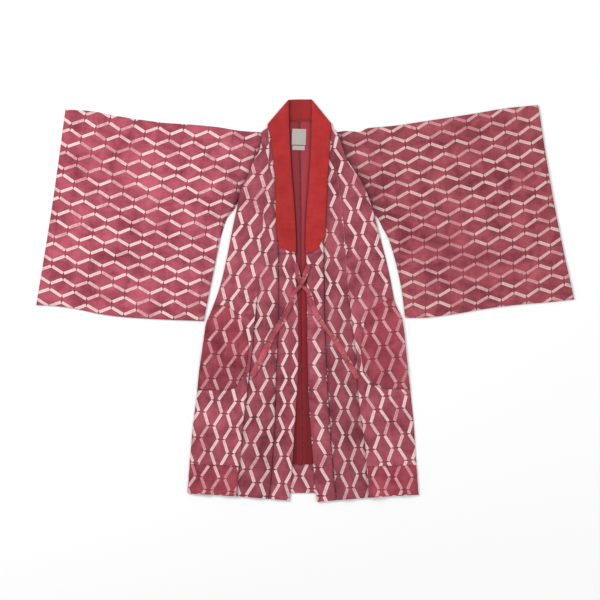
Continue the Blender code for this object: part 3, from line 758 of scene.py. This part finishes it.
def make_back(side, front):
    share, up = grid(14, 120)
    inset = column(BACK, f"inset_{side}")
    centre = column(BACK, "centre")
    y = mix(BACK[-1].y, BACK[0].y, up)
    outer = front.side(y) + front.inward * inset(y)
    middle = centre(y) - front.inward * SEAM_GAP / 2
    neck = (NECK_Y - BACK[0].y) * (1 - (1 - share) ** NECK_POWER)
    rise = neck * ease(y, BACK[0].y - NECK_RUN, BACK[0].y)
    x = mix(outer, middle, share)
    print_place = print_at(f"{side}_side_high", x, y)
    return side_cloth("back_panel", side, x, y + rise, CLOTH + 0 * x, print_place, BACK_SHADE, CLOTH)


def make_lining(side, front):
    share, up = grid(34, 260)
    centre = column(BACK, "centre")
    y = mix(LINING_FOOT + SEAM_GAP, LINING_TOP, up)
    middle = centre(y) - front.inward * SEAM_GAP / 2
    edge = LINING_LEFT_X if side == "left" else LINING_RIGHT_X
    x = mix(edge, middle, share)
    past_collar = (x - COLLAR_INNER[side](y)) * front.inward
    from_seam = np.abs(x - middle)
    waves = 1.5 * ripples(x, y, 46, 12 + front.inward, 0.16) + 0.5 * ripples(x, y, 17, 21, 0.3)
    folds = ridges(LINING_CREASES, x, y, 1.5)
    lift = (waves + folds) * ease(past_collar, 1, 7) * ease(from_seam, 0, 5)
    z = LINING_LEVEL + LINING + lift - rolled(from_seam, 0.5)
    dark = shadow(past_collar, 4, 0.55) + shadow(from_seam, 1.6, 0.6)
    dark = dark + shadow(LINING_TOP - y, 3, 0.6) + LINING_SHADE[side]
    return side_cloth("back_lining", side, x, y, z, (), dark, LINING_SHOWN)


def make_facing():
    share, up = grid(30, 28)
    x = mix(FACING_LEFT_X, FACING_RIGHT_X, share)
    y = mix(FACING_FOOT, LINING_FOOT, up)
    z = LINING_LEVEL + LINING - rolled(LINING_FOOT - y, 0.4)
    dark = shadow(LINING_FOOT - y, 2.5, 0.6) + FACING_SHADE
    return cloth("back_facing", x, y, z, print_at("facing", x, y), dark, FACING_SHOWN)


class Sleeve:
    """One sleeve, a flattened tube open at the cuff and at the body."""

    def __init__(self, side, rows):
        self.name = side
        for line in ("top_x", "top_y", "bottom_x", "bottom_y"):
            setattr(self, line, column(rows, line, "reach"))
        front = FRONTS[side]
        lap = front.inward * ARMHOLE_LAP[side]
        armhole = [(y, float(front.side(y)) + lap) for y in ARMHOLE_STATIONS[side]]
        armhole[0] = (rows[0].top_y, rows[0].top_x)
        self.inner_x = through(armhole + [(free.y, free.x) for free in FREE_EDGE[side]])

    def plan(self, reach, share):
        """A point in plan, from the body to the cuff and from the top fold to the bottom seam."""
        x = mix(self.top_x(reach), self.bottom_x(reach), share)
        y = mix(self.top_y(reach), self.bottom_y(reach), share)
        body_x = mix(self.top_x(0), self.bottom_x(0), share)
        body_y = mix(self.top_y(0), self.bottom_y(0), share)
        near_body = np.maximum(1 - reach / FREE_EDGE_FADE, 0) ** 2
        bow = CUFF_BOW[self.name] * np.sin(math.pi * share) * reach ** 2
        return x + (self.inner_x(body_y) - body_x) * near_body + bow, y

    def height(self, x, y):
        """How far the upper layer stands above its lowest level."""
        away = np.abs(x - self.inner_x(y))
        waves = ridges(SLEEVE_WAVES[self.name], x, y)
        waves = waves * ease(away, SLEEVE_WAVE_START, SLEEVE_WAVE_FULL)
        clear = ease(away, PUCKER_START, PUCKER_FULL)
        creases = ridges(SLEEVE_CREASES[self.name], x, y, 1.3)
        seed = 31 if self.name == "left" else 37
        drag = 1.1 * ripples(x, y, 95, seed, 2.4) + 0.5 * ripples(x, y, 38, seed + 1, 1.5)
        return waves + (creases + drag) * clear


def sleeve_ring(depth):
    """Stations round a sleeve: share of its depth, level, upper layer or not, and roll."""
    radius = SLEEVE_HEIGHT / 2
    inset = radius / depth
    under = np.linspace(inset, 1 - inset, SLEEVE_UNDER_SHOWN + 1)
    over = np.linspace(1 - inset, inset, SLEEVE_OVER_SHOWN + 1)
    angle = np.pi * np.arange(1, SLEEVE_EDGE_SHOWN) / SLEEVE_EDGE_SHOWN
    low_edge = 1 - inset * (1 - np.sin(angle))
    high_edge = inset * (1 - np.sin(angle))
    shares = np.concatenate([under, low_edge, over, high_edge])
    levels = np.concatenate([
        0 * under,
        radius * (1 - np.cos(angle)),
        SLEEVE_HEIGHT + 0 * over,
        radius * (1 + np.cos(angle)),
    ])
    upper = np.concatenate([0 * under, 0 * angle, 1 + 0 * over, 0 * angle])
    return shares[None, :], levels[None, :], upper[None, :]


def make_sleeve(side, rows):
    sleeve = Sleeve(side, rows)
    front = FRONTS[side]
    depth = math.hypot(rows[0].top_x - rows[0].bottom_x, rows[0].top_y - rows[0].bottom_y)
    share, level, upper = sleeve_ring(depth)
    if side == "right":
        share, level, upper = share[:, ::-1], level[:, ::-1], upper[:, ::-1]
    reach = np.linspace(0, 1, SLEEVE_ROWS)[:, None] ** SLEEVE_CROWDING
    x, y = sleeve.plan(reach, share)
    from_fold = np.minimum(share, 1 - share) * depth
    z = level + upper * sleeve.height(x, y) * ease(from_fold, 0, 22)
    above = ease(y, BACK_LAYER_LOW, BACK_LAYER_LOW + 2 * BACK_LAYER_EASE)
    below = ease(BACK_LAYER_HIGH - y, 0, BACK_LAYER_EASE)
    near_body = np.maximum(1 - reach * BACK_LAYER_FADE, 0)
    shown = front.inward * BACK_LAYER_REACH[side] * above * below * near_body
    x = x + np.where(level == 0, shown, 0)
    beside = np.abs(x - front.side(y))
    armhole = ease(y, ARMHOLE_OUT + 40, ARMHOLE_LOW + 40)
    dark = armhole * (shadow(beside, ARMHOLE_SHADE[side], 0.85) + shadow(beside, 34, 0.22))
    dark = dark + (1 - armhole) * shadow(np.abs(x - sleeve.inner_x(y)), 3, 0.45)
    dark = dark + shadow(from_fold, 1.6, 0.3) + shadow((1 - reach) * depth, 1.6, 0.35)
    print_place = print_at(f"sleeve_{side}", x, y, along_sleeve=True)
    return cloth(f"sleeve_tube_{side}", x, y, z + 0 * x, print_place, dark, closed=True)


def collar_run(rows, count, level):
    """Rows of a flat run of the over-collar, evenly spaced along its table, at one level."""
    key = np.linspace(0, len(rows) - 1, count)
    flat = 0 * key
    places = [track(key) for track in tracks(range(len(rows)), rows)]
    return np.stack([*places, flat + level, flat, flat], axis=1)


def collar_turn(row):
    """Rows round the diagonal fold at the neck, from the front level down to the back level."""
    run_x = row.inner_x - row.outer_x
    run_y = row.inner_y - row.outer_y
    length = math.hypot(run_x, run_y)
    out_x = -run_y / length if run_x > 0 else run_y / length
    out_y = abs(run_x) / length
    radius = (COLLAR_FRONT_LEVEL - COLLAR_BACK_LEVEL) / 2
    angle = np.linspace(0, math.pi, COLLAR_TURN_ROWS)
    push = radius * (np.sin(angle) - 1)
    level = COLLAR_BACK_LEVEL + radius * (1 + np.cos(angle))
    places = np.tile(np.array(row, float), (COLLAR_TURN_ROWS, 1))
    return np.column_stack([places, level, out_x * push, out_y * push])


def make_collar():
    left, right = (
        np.concatenate([collar_run(rows, COLLAR_ROWS, COLLAR_FRONT_LEVEL), collar_turn(COLLAR_TURN[side])])
        for side, rows in COLLAR_SIDES.items()
    )
    back = collar_run(COLLAR_BACK, COLLAR_BACK_ROWS, COLLAR_BACK_LEVEL)
    spots = np.concatenate([left, back, right[::-1]])
    share = np.linspace(0, 1, COLLAR_ACROSS)[None, :]
    outer_x, outer_y, inner_x, inner_y, level, push_x, push_y = (spots[:, k:k + 1] for k in range(7))
    x = mix(outer_x, inner_x, share) + push_x
    y = mix(outer_y, inner_y, share) + push_y
    front = ease(level, COLLAR_FRONT_LEVEL - 0.2, COLLAR_FRONT_LEVEL)
    inside = np.minimum(share, 1 - share)
    crown = front * (0.8 * ripples(x, y, 60, 44, 0.5) + 0.3 * ripples(x, y, 21, 45)) * ease(inside, 0, 0.2)
    edge = -0.45 * front * np.clip(1 - inside / 0.05, 0, 1) ** 2
    dark = COLLAR_SHADE_LEFT * ease(-x, -2, 12) + COLLAR_SHADE_BACK * (1 - front)
    dark = dark + shadow(inside * 50, 1.2, 0.35) * front
    height = level + crown + edge + 0 * x
    return cloth("over_collar", x, y, height, (), dark, COLLAR_SHOWN, offset=0)


def make_pocket(side, front, rows):
    share, up = grid(54, 84)
    inner = column(rows, "inner")
    crowded = 0.5 - 0.5 * np.cos(math.pi * up)
    y = mix(rows[-1].y, rows[0].y, mix(up, crowded, 0.85))
    mouth = front.side(y) + front.inward * POCKET_INSET
    x = mix(mouth, inner(y), share)
    rim = np.minimum(np.abs(x - inner(y)), np.minimum(y - rows[-1].y, rows[0].y - y))
    puff = 0.9 * ripples(x, y, 48, 51 + front.inward) * ease(rim, 0, 16)
    puff = puff + ridges(POCKET_CREASES[side], x, y, 1.4) * ease(rim, 0, 10)
    z = front.top_height(x, y) + LAY_GAP + CLOTH_SHOWN + puff - rolled(rim, 0.6)
    low = ease(-y, 90, 215)
    dark = shadow(rim, 1.8, 0.5) + shadow(rim, 9, 0.16) * low + 0.12 * low + 0.05
    return side_cloth("patch_pocket", side, x, y, z, print_at(f"pocket_{side}", x, y), dark)


def make_hem_patch(side, front):
    share, up = grid(64, 44)
    y = mix(front.foot + PATCH_INSET, PATCH_TOP[side], up)
    x = mix(front.side(y) + front.inward * POCKET_INSET, front.fold(y) - front.inward * 1.5, share)
    z = front.top_height(x, y) + SEAM_GAP + CLOTH_SHOWN - rolled(PATCH_TOP[side] - y, 0.5)
    dark = shadow(PATCH_TOP[side] - y, 1.8, 0.75) + shadow(np.abs(x - front.fold(y)), 2, 0.3)
    print_place = print_at(f"patch_{side}", x, y)
    return side_cloth("hem_guard", side, *front.place(x, y), z, print_place, dark)


def coat_top(x, y):
    """Height of the uppermost cloth of the fronts at a place in plan."""
    for front in FRONTS.values():
        if (x - front.edge(y)) * front.inward > 0:
            continue
        if (x - front.seam(y)) * front.inward > -1:
            return BAND_LEVEL + BAND + 0.5
        return float(front.top_height(x, y))
    return LINING_LEVEL + LINING


def make_ties():
    """Two flat strips that cross in a half knot."""
    laid = []
    ties = []
    for side, points in TIES.items():
        runs = [0.0]
        for a, b in zip(points, points[1:]):
            runs.append(runs[-1] + math.hypot(b.x - a.x, b.y - a.y))
        run = np.linspace(0, runs[-1], TIE_STEPS)
        px, py, width = (track(run) for track in tracks(runs, points))
        levels = []
        for x, y, w in zip(px, py, width):
            around = [(0, 0), (w / 2, 0), (-w / 2, 0), (0, w / 2), (0, -w / 2)]
            level = max(coat_top(x + dx, y + dy) for dx, dy in around) + LAY_GAP / 2
            for other_x, other_y, other_level, other_width in laid:
                if math.hypot(x - other_x, y - other_y) < (w + other_width) * TIE_CROSSING:
                    level = max(level, other_level + TIE + 0.2)
            levels.append(level)
        lifted = [max(levels[max(i - 4, 0):i + 5]) for i in range(len(levels))]
        smooth = np.convolve(np.pad(lifted, 5, mode="edge"), np.ones(11) / 11, mode="valid")
        level = np.maximum(smooth, np.array(levels))
        laid += list(zip(px, py, level, width))
        along_x, along_y = np.gradient(px), np.gradient(py)
        length = np.hypot(along_x, along_y)
        across = np.linspace(-1, 1, 13)[None, :]
        half = (width * TIE_PINCH[side](run) / 2)[:, None]
        x = px[:, None] + across * half * (along_y / length)[:, None]
        y = py[:, None] - across * half * (along_x / length)[:, None]
        crease = 0.35 * np.exp(-((across - 0.3 * np.sin(run / 23)[:, None]) / 0.2) ** 2)
        z = level[:, None] + 1.1 - 0.35 * np.abs(across) ** 3 + crease
        x, y, z = (part[::-1] for part in (x, y, z))
        dark = 0.45 * np.abs(across) ** 4 + 0 * x
        place = (across * 0.28 + 0.45 + 0 * x, (run[::-1] / ROW_STEP)[:, None] + 0 * x)
        ties.append(cloth(f"tie_strip_{side}", x, y, z, place, dark, TIE_SHOWN))
    return ties


def make_tape(name, tape, level):
    share, up = grid(26, 26)
    angle = math.radians(tape.lean)
    local_x = (share - 0.5) * tape.width
    local_y = (up - 0.5) * tape.height
    x = tape.x + local_x * math.cos(angle) - local_y * math.sin(angle)
    y = tape.y + local_x * math.sin(angle) + local_y * math.cos(angle)
    z = level + 0.5 * ripples(x, y, 30, 61) + 0 * x
    return cloth(name, x, y, z, thickness=TAPE_SHOWN)


def plug(tree, value, slot):
    """Lead a wire into a shader's slot, or set a number there."""
    if isinstance(value, Wire):
        tree.links.new(value.socket, slot)
    else:
        slot.default_value = value


class Wire:
    """A number made by shader nodes, in millimetres or shares; arithmetic adds Math nodes."""

    def __init__(self, tree, socket):
        self.tree = tree
        self.socket = socket

    def math(self, operation, *others):
        node = self.tree.nodes.new("ShaderNodeMath")
        node.operation = operation
        for slot, value in zip(node.inputs, (self, *others)):
            plug(self.tree, value, slot)
        return Wire(self.tree, node.outputs[0])

    def __add__(self, other):
        return self.math("ADD", other)

    def __sub__(self, other):
        return self.math("SUBTRACT", other)

    def __mul__(self, other):
        return self.math("MULTIPLY", other)

    def __truediv__(self, other):
        return self.math("DIVIDE", other)

    def size(self):
        return self.math("ABSOLUTE")

    def held(self):
        """Kept from 0 to 1."""
        return self.math("MAXIMUM", 0.0).math("MINIMUM", 1.0)

    def band(self, low, high):
        """1 below low, 0 above high, and a smooth step between them."""
        node = self.tree.nodes.new("ShaderNodeMapRange")
        node.interpolation_type = "SMOOTHSTEP"
        self.tree.links.new(self.socket, node.inputs["Value"])
        node.inputs["From Min"].default_value = low
        node.inputs["From Max"].default_value = high
        node.inputs["To Min"].default_value = 1
        node.inputs["To Max"].default_value = 0
        return Wire(self.tree, node.outputs["Result"])


class Look:
    """A cloth material in the making."""

    def __init__(self, name, roughness, sheen):
        self.material = bpy.data.materials.new(name)
        self.material.use_nodes = True
        self.tree = self.material.node_tree
        self.shader = self.tree.nodes["Principled BSDF"]
        self.shader.inputs["Roughness"].default_value = roughness
        self.shader.inputs["Sheen Weight"].default_value = sheen
        self.shader.inputs["Sheen Roughness"].default_value = SHEEN_ROUGHNESS
        self.shader.inputs["Specular IOR Level"].default_value = SPECULAR
        self.plan = self.tree.nodes.new("ShaderNodeTexCoord").outputs["Object"]
        self.chain, self.row = self.split(self.uv_map("print"))
        self.dark, self.worn = self.split(self.uv_map("tone"))

    def uv_map(self, name):
        node = self.tree.nodes.new("ShaderNodeUVMap")
        node.uv_map = name
        return node.outputs["UV"]

    def split(self, vector):
        """The first two parts of a vector."""
        node = self.tree.nodes.new("ShaderNodeSeparateXYZ")
        self.tree.links.new(vector, node.inputs[0])
        return Wire(self.tree, node.outputs["X"]), Wire(self.tree, node.outputs["Y"])

    def vector(self, *parts):
        node = self.tree.nodes.new("ShaderNodeCombineXYZ")
        for slot, value in zip(node.inputs, parts):
            plug(self.tree, value, slot)
        return node.outputs[0]

    def noise(self, x, y, z, detail=3.0, roughness=0.5, distortion=0.0):
        """Noise over the plan, with so many cells a metre each way."""
        stretch = self.tree.nodes.new("ShaderNodeMapping")
        stretch.inputs["Scale"].default_value = (x, y, z)
        self.tree.links.new(self.plan, stretch.inputs["Vector"])
        node = self.tree.nodes.new("ShaderNodeTexNoise")
        node.inputs["Scale"].default_value = 1
        node.inputs["Detail"].default_value = detail
        node.inputs["Roughness"].default_value = roughness
        node.inputs["Distortion"].default_value = distortion
        self.tree.links.new(stretch.outputs[0], node.inputs["Vector"])
        return Wire(self.tree, node.outputs["Fac"])

    def white(self, *parts):
        node = self.tree.nodes.new("ShaderNodeTexWhiteNoise")
        self.tree.links.new(self.vector(*parts), node.inputs["Vector"])
        return Wire(self.tree, node.outputs["Value"])

    def colour(self, level):
        return (*((channel / 255) ** 2.2 for channel in level), 1)

    def blend(self, share, first, second):
        """A mix of two colours, each a level triple or a socket."""
        node = self.tree.nodes.new("ShaderNodeMix")
        node.data_type = "RGBA"
        self.tree.links.new(share.socket, node.inputs["Factor"])
        for slot, value in ((node.inputs[6], first), (node.inputs[7], second)):
            if isinstance(value, tuple):
                slot.default_value = self.colour(value)
            else:
                self.tree.links.new(value, slot)
        return node.outputs[2]

    def finish(self, colour, height, strength, distance):
        # Painted shade of seams and folds, blended into the base colour
        shade = (self.dark * 0.85).math("MINIMUM", 0.9)
        self.tree.links.new(self.blend(shade, colour, SEAM_SHADE), self.shader.inputs["Base Color"])
        bump = self.tree.nodes.new("ShaderNodeBump")
        bump.inputs["Strength"].default_value = strength
        bump.inputs["Distance"].default_value = distance * MM
        self.tree.links.new(height.socket, bump.inputs["Height"])
        self.tree.links.new(bump.outputs["Normal"], self.shader.inputs["Normal"])
        return self.material


def weave(look, thread):
    """Height of a plain weave with slubs; thread is its pitch in millimetres."""
    across = look.noise(1000 / thread, 90, 90, detail=2)
    along = look.noise(70, 1000 / thread, 90, detail=2)
    fibre = look.noise(1600, 1600, 1600, detail=1)
    return across * 0.45 + along * 0.45 + fibre * 0.2


def printed_cloth(name, tone):
    """Rose cloth with chains of pale dashes."""
    look = Look(name, 0.82, 0.25)
    warp = look.noise(14, 14, 14, detail=2)
    warp_more = look.noise(11, 19, 14, detail=2)
    chain = look.chain + (warp - 0.5) * 0.09
    row = look.row + (warp_more - 0.5) * 0.08
    nearest = chain.math("ROUND")
    cell = row.math("FLOOR")
    odd = (nearest + cell).math("PINGPONG", 1.0)
    turn = odd * -2 + 1
    half_run = ROW_STEP / 2
    half_swing = SWING * CHAIN_PITCH
    length = math.hypot(half_run, half_swing)
    slant, rise = half_swing / length, half_run / length
    across_mm = (chain - nearest) * CHAIN_PITCH
    along_mm = (row - cell - 0.5) * ROW_STEP
    leaning = across_mm * turn
    beside = leaning * rise + along_mm * slant * -1
    beyond = leaning * slant + along_mm * rise
    ragged = look.noise(420, 420, 420, detail=3)
    side_out = (beside.size() - (BAR_HALF - BAR_CORNER)).math("MAXIMUM", 0)
    end_out = (beyond.size() - (length - BAR_GAP / 2 - BAR_CORNER)).math("MAXIMUM", 0)
    outside = (side_out * side_out + end_out * end_out).math("SQRT") - BAR_CORNER
    outside = outside + (ragged - 0.5) * 1.6
    bar = outside.band(-0.5, 0.5)
    halo = outside.band(0.2, 1.8)
    chance = look.white(nearest, cell, 3.0 + tone.fade * 10)
    patch = look.noise(9, 9, 9, detail=3, roughness=0.6)
    worn = look.noise(160, 160, 160, detail=4, roughness=0.65)
    lost = (patch - 0.5) * 2.2 + (chance - 0.5) * 0.9 + (worn - 0.5) * 1.5
    lost = lost + look.worn * 1.2 + (tone.fade - 0.5)
    kept = lost.band(-0.35, 0.75) * 0.75 + 0.25
    dot = (beyond * (math.tau / 3.2)).math("SINE") * 0.5 + 0.5
    middle = beside.size().band(0.25, 0.75) * beyond.size().band(length - 5, length - 3.5)
    dotted = middle * dot

    pair = chain.math("FLOOR")
    knot = row.math("ROUND")
    meets = (pair + knot).math("PINGPONG", 1.0)
    line_across = ((chain - pair - 0.5) * CHAIN_PITCH).size()
    line_along = ((row - knot) * ROW_STEP).size()
    node_line = line_along.band(0.45, 1.0) * (line_across - NODE_LINE_HALF).band(-0.6, 0.6) * meets

    mottle = look.noise(22, 22, 22, detail=5, roughness=0.62, distortion=0.4)
    cloud = look.noise(6, 6, 6, detail=2)
    slub = look.noise(30, 900, 30, detail=2)
    warp_thread = look.noise(900, 26, 30, detail=2)
    depth = (mottle - 0.5) * 2.2 + (cloud - 0.5) * 0.9 + (slub - 0.5) * 0.6 + (warp_thread - 0.5) * 0.6 + 0.5
    ground = look.blend(depth.held(), tone.deep, tone.pale)
    ground = look.blend(halo * 0.35, ground, tone.deep)
    cream = look.blend(kept, BAR_FAINT, tone.dash)
    cream = look.blend(dotted * 0.6, cream, BAR_DOT)
    colour = look.blend(bar * (kept * 0.25 + 0.75), ground, cream)
    colour = look.blend(node_line * 0.8, colour, NODE_LINE)
    return look.finish(colour, weave(look, 1.1), 0.5, 0.5)


def plain_cloth(name, deep, pale, thread, sheen=0.2):
    look = Look(name, 0.8, sheen)
    mottle = look.noise(26, 26, 26, detail=5, roughness=0.6)
    streak = look.noise(900, 24, 30, detail=2)
    slub = look.noise(24, 900, 30, detail=2)
    depth = (mottle - 0.5) * 1.4 + (streak - 0.5) * 0.7 + (slub - 0.5) * 0.7 + 0.5
    colour = look.blend(depth.held(), deep, pale)
    return look.finish(colour, weave(look, thread), 0.5, 0.4)


def lining_cloth():
    """Lining: rose above and brick red below, its left half a little deeper with painted shade, and painted
    crease shadows in dark vertical streaks.
    """
    look = Look("lining_cloth", 0.78, 0.2)
    side, up = look.split(look.plan)
    cloud = look.noise(20, 12, 20, detail=4)
    low = (up + (cloud - 0.5) * 0.16).band(-0.12, 0.2)
    tone = look.blend(low, LINING_HIGH, LINING_LOW)
    # Painted shade: the left half is darkened towards the lining's painted shade colour
    left = side.band(-0.014, -0.008)
    tone = look.blend(left * 0.28, tone, LINING_PAINTED_SHADE)
    # Painted crease shadows: thin vertical streaks darken the lining
    streak = look.noise(700, 18, 30, detail=3)
    tone = look.blend((streak - 0.5).math("MAXIMUM", 0.0) * 0.9, tone, LINING_PAINTED_SHADE)
    return look.finish(tone, weave(look, 0.9), 0.5, 0.3)


def tape_cloth():
    """Pale woven tape, left plain."""
    look = Look("label_tape", 0.75, 0.1)
    rib = look.noise(300, 1400, 30, detail=2)
    stain = look.noise(60, 60, 60, detail=3)
    colour = look.blend(stain * 0.5 + rib * 0.4, TAPE_DEEP, TAPE_PALE)
    return look.finish(colour, rib, 0.6, 0.3)



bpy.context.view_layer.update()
FRONTS = {"left": Front("left", FRONT_LEFT), "right": Front("right", FRONT_RIGHT)}
COLLAR_INNER = {side: column(rows, "inner_x", "inner_y") for side, rows in COLLAR_SIDES.items()}
COLLAR_OUTER = {side: column(rows, "outer_x", "outer_y") for side, rows in COLLAR_SIDES.items()}

BODY_CLOTH = printed_cloth("printed_body", BODY_TONE)
SLEEVE_CLOTH = {side: printed_cloth(f"printed_sleeve_{side}", tone) for side, tone in SLEEVE_TONE.items()}
PATCH_CLOTH = printed_cloth("printed_patch", PATCH_TONE)
TIE_CLOTH = printed_cloth("printed_tie", TIE_TONE)
RED_CLOTH = plain_cloth("collar_red", COLLAR_DEEP, COLLAR_PALE, 1.0)
LINING_CLOTH = lining_cloth()
TAPE_CLOTH = tape_cloth()

for side, front in FRONTS.items():
    back = make_back(side, front)
    sew_on(back, BODY_CLOTH, f"back_{side}", (0.29, 0.93))
    lining = make_lining(side, front)
    sew_on(lining, LINING_CLOTH, f"lining_{side}", (0.05, 0.86))
    sleeve = make_sleeve(side, SLEEVE_LEFT if side == "left" else SLEEVE_RIGHT)
    sew_on(sleeve, SLEEVE_CLOTH[side], f"sleeve_{side}", (0.53, 1.0))
    panel = make_front(side, front)
    sew_on(panel, BODY_CLOTH, f"front_{side}", (0.26, 0.94))
    band = make_band(side, front)
    sew_on(band, BODY_CLOTH, f"band_{side}", (0.05, 0.94))
    pocket = make_pocket(side, front, POCKETS[side])
    sew_on(pocket, PATCH_CLOTH, f"pocket_{side}", (0.13, 0.23))
    patch = make_hem_patch(side, front)
    sew_on(patch, PATCH_CLOTH, f"hem_patch_{side}", (0.13, 0.08))
sew_on(make_facing(), BODY_CLOTH, "hem_facing", (0.1, 0.08))
sew_on(make_collar(), RED_CLOTH, "collar", (0.05, 0.84))
for side, tie in zip(TIES, make_ties()):
    sew_on(tie, TIE_CLOTH, f"tie_{side}", (0.014, 0.33))
for name, tape in TAPES.items():
    label = make_tape(f"woven_{name}", tape, BAND_LEVEL + LABEL)
    sew_on(label, TAPE_CLOTH, name, (tape.width * MM, tape.height * MM))

# The floor, the lamps and the camera, in metres
FLOOR_HALF = 6
FLOOR_LEVEL = -0.0005
FLOOR_COLOUR = (0.93, 0.93, 0.93, 1)
WORLD_LIGHT = 0.62

turns = ((-1, -1), (1, -1), (1, 1), (-1, 1))
floor_corners = [(FLOOR_HALF * x, FLOOR_HALF * y, FLOOR_LEVEL) for x, y in turns]
floor_mesh = bpy.data.meshes.new("floor")
floor_mesh.from_pydata(floor_corners, [], [(0, 1, 2, 3)])
floor = bpy.data.objects.new("floor", floor_mesh)
bpy.context.scene.collection.objects.link(floor)
paper = bpy.data.materials.new("paper")
paper.use_nodes = True
paper_shader = paper.node_tree.nodes["Principled BSDF"]
paper_shader.inputs["Base Color"].default_value = FLOOR_COLOUR
paper_shader.inputs["Roughness"].default_value = 0.9
floor.data.materials.append(paper)


def add_lamp(name, place, size, power):
    """A square lamp that shines on the coat's middle."""
    lamp = bpy.data.lights.new(name, "AREA")
    lamp.size = size
    lamp.energy = power
    carrier = bpy.data.objects.new(name, lamp)
    carrier.location = place
    carrier.rotation_euler = (-Vector(place)).to_track_quat("-Z", "Y").to_euler()
    bpy.context.scene.collection.objects.link(carrier)


add_lamp("key", (-2.2, 1.9, 2.3), 1.4, 85)
add_lamp("fill", (2.6, -0.6, 2.6), 2.4, 30)
world = bpy.data.worlds.new("studio")
bpy.context.scene.world = world
world.use_nodes = True
background = world.node_tree.nodes["Background"]
background.inputs["Color"].default_value = (1, 1, 1, 1)
background.inputs["Strength"].default_value = WORLD_LIGHT

camera_data = bpy.data.cameras.new("camera")
camera_data.sensor_width = 36
camera_data.lens = 96
camera = bpy.data.objects.new("camera", camera_data)
camera.location = (-0.013, 0.0016, 4)
bpy.context.scene.collection.objects.link(camera)
bpy.context.scene.camera = camera
bpy.context.scene.view_settings.view_transform = "Standard"
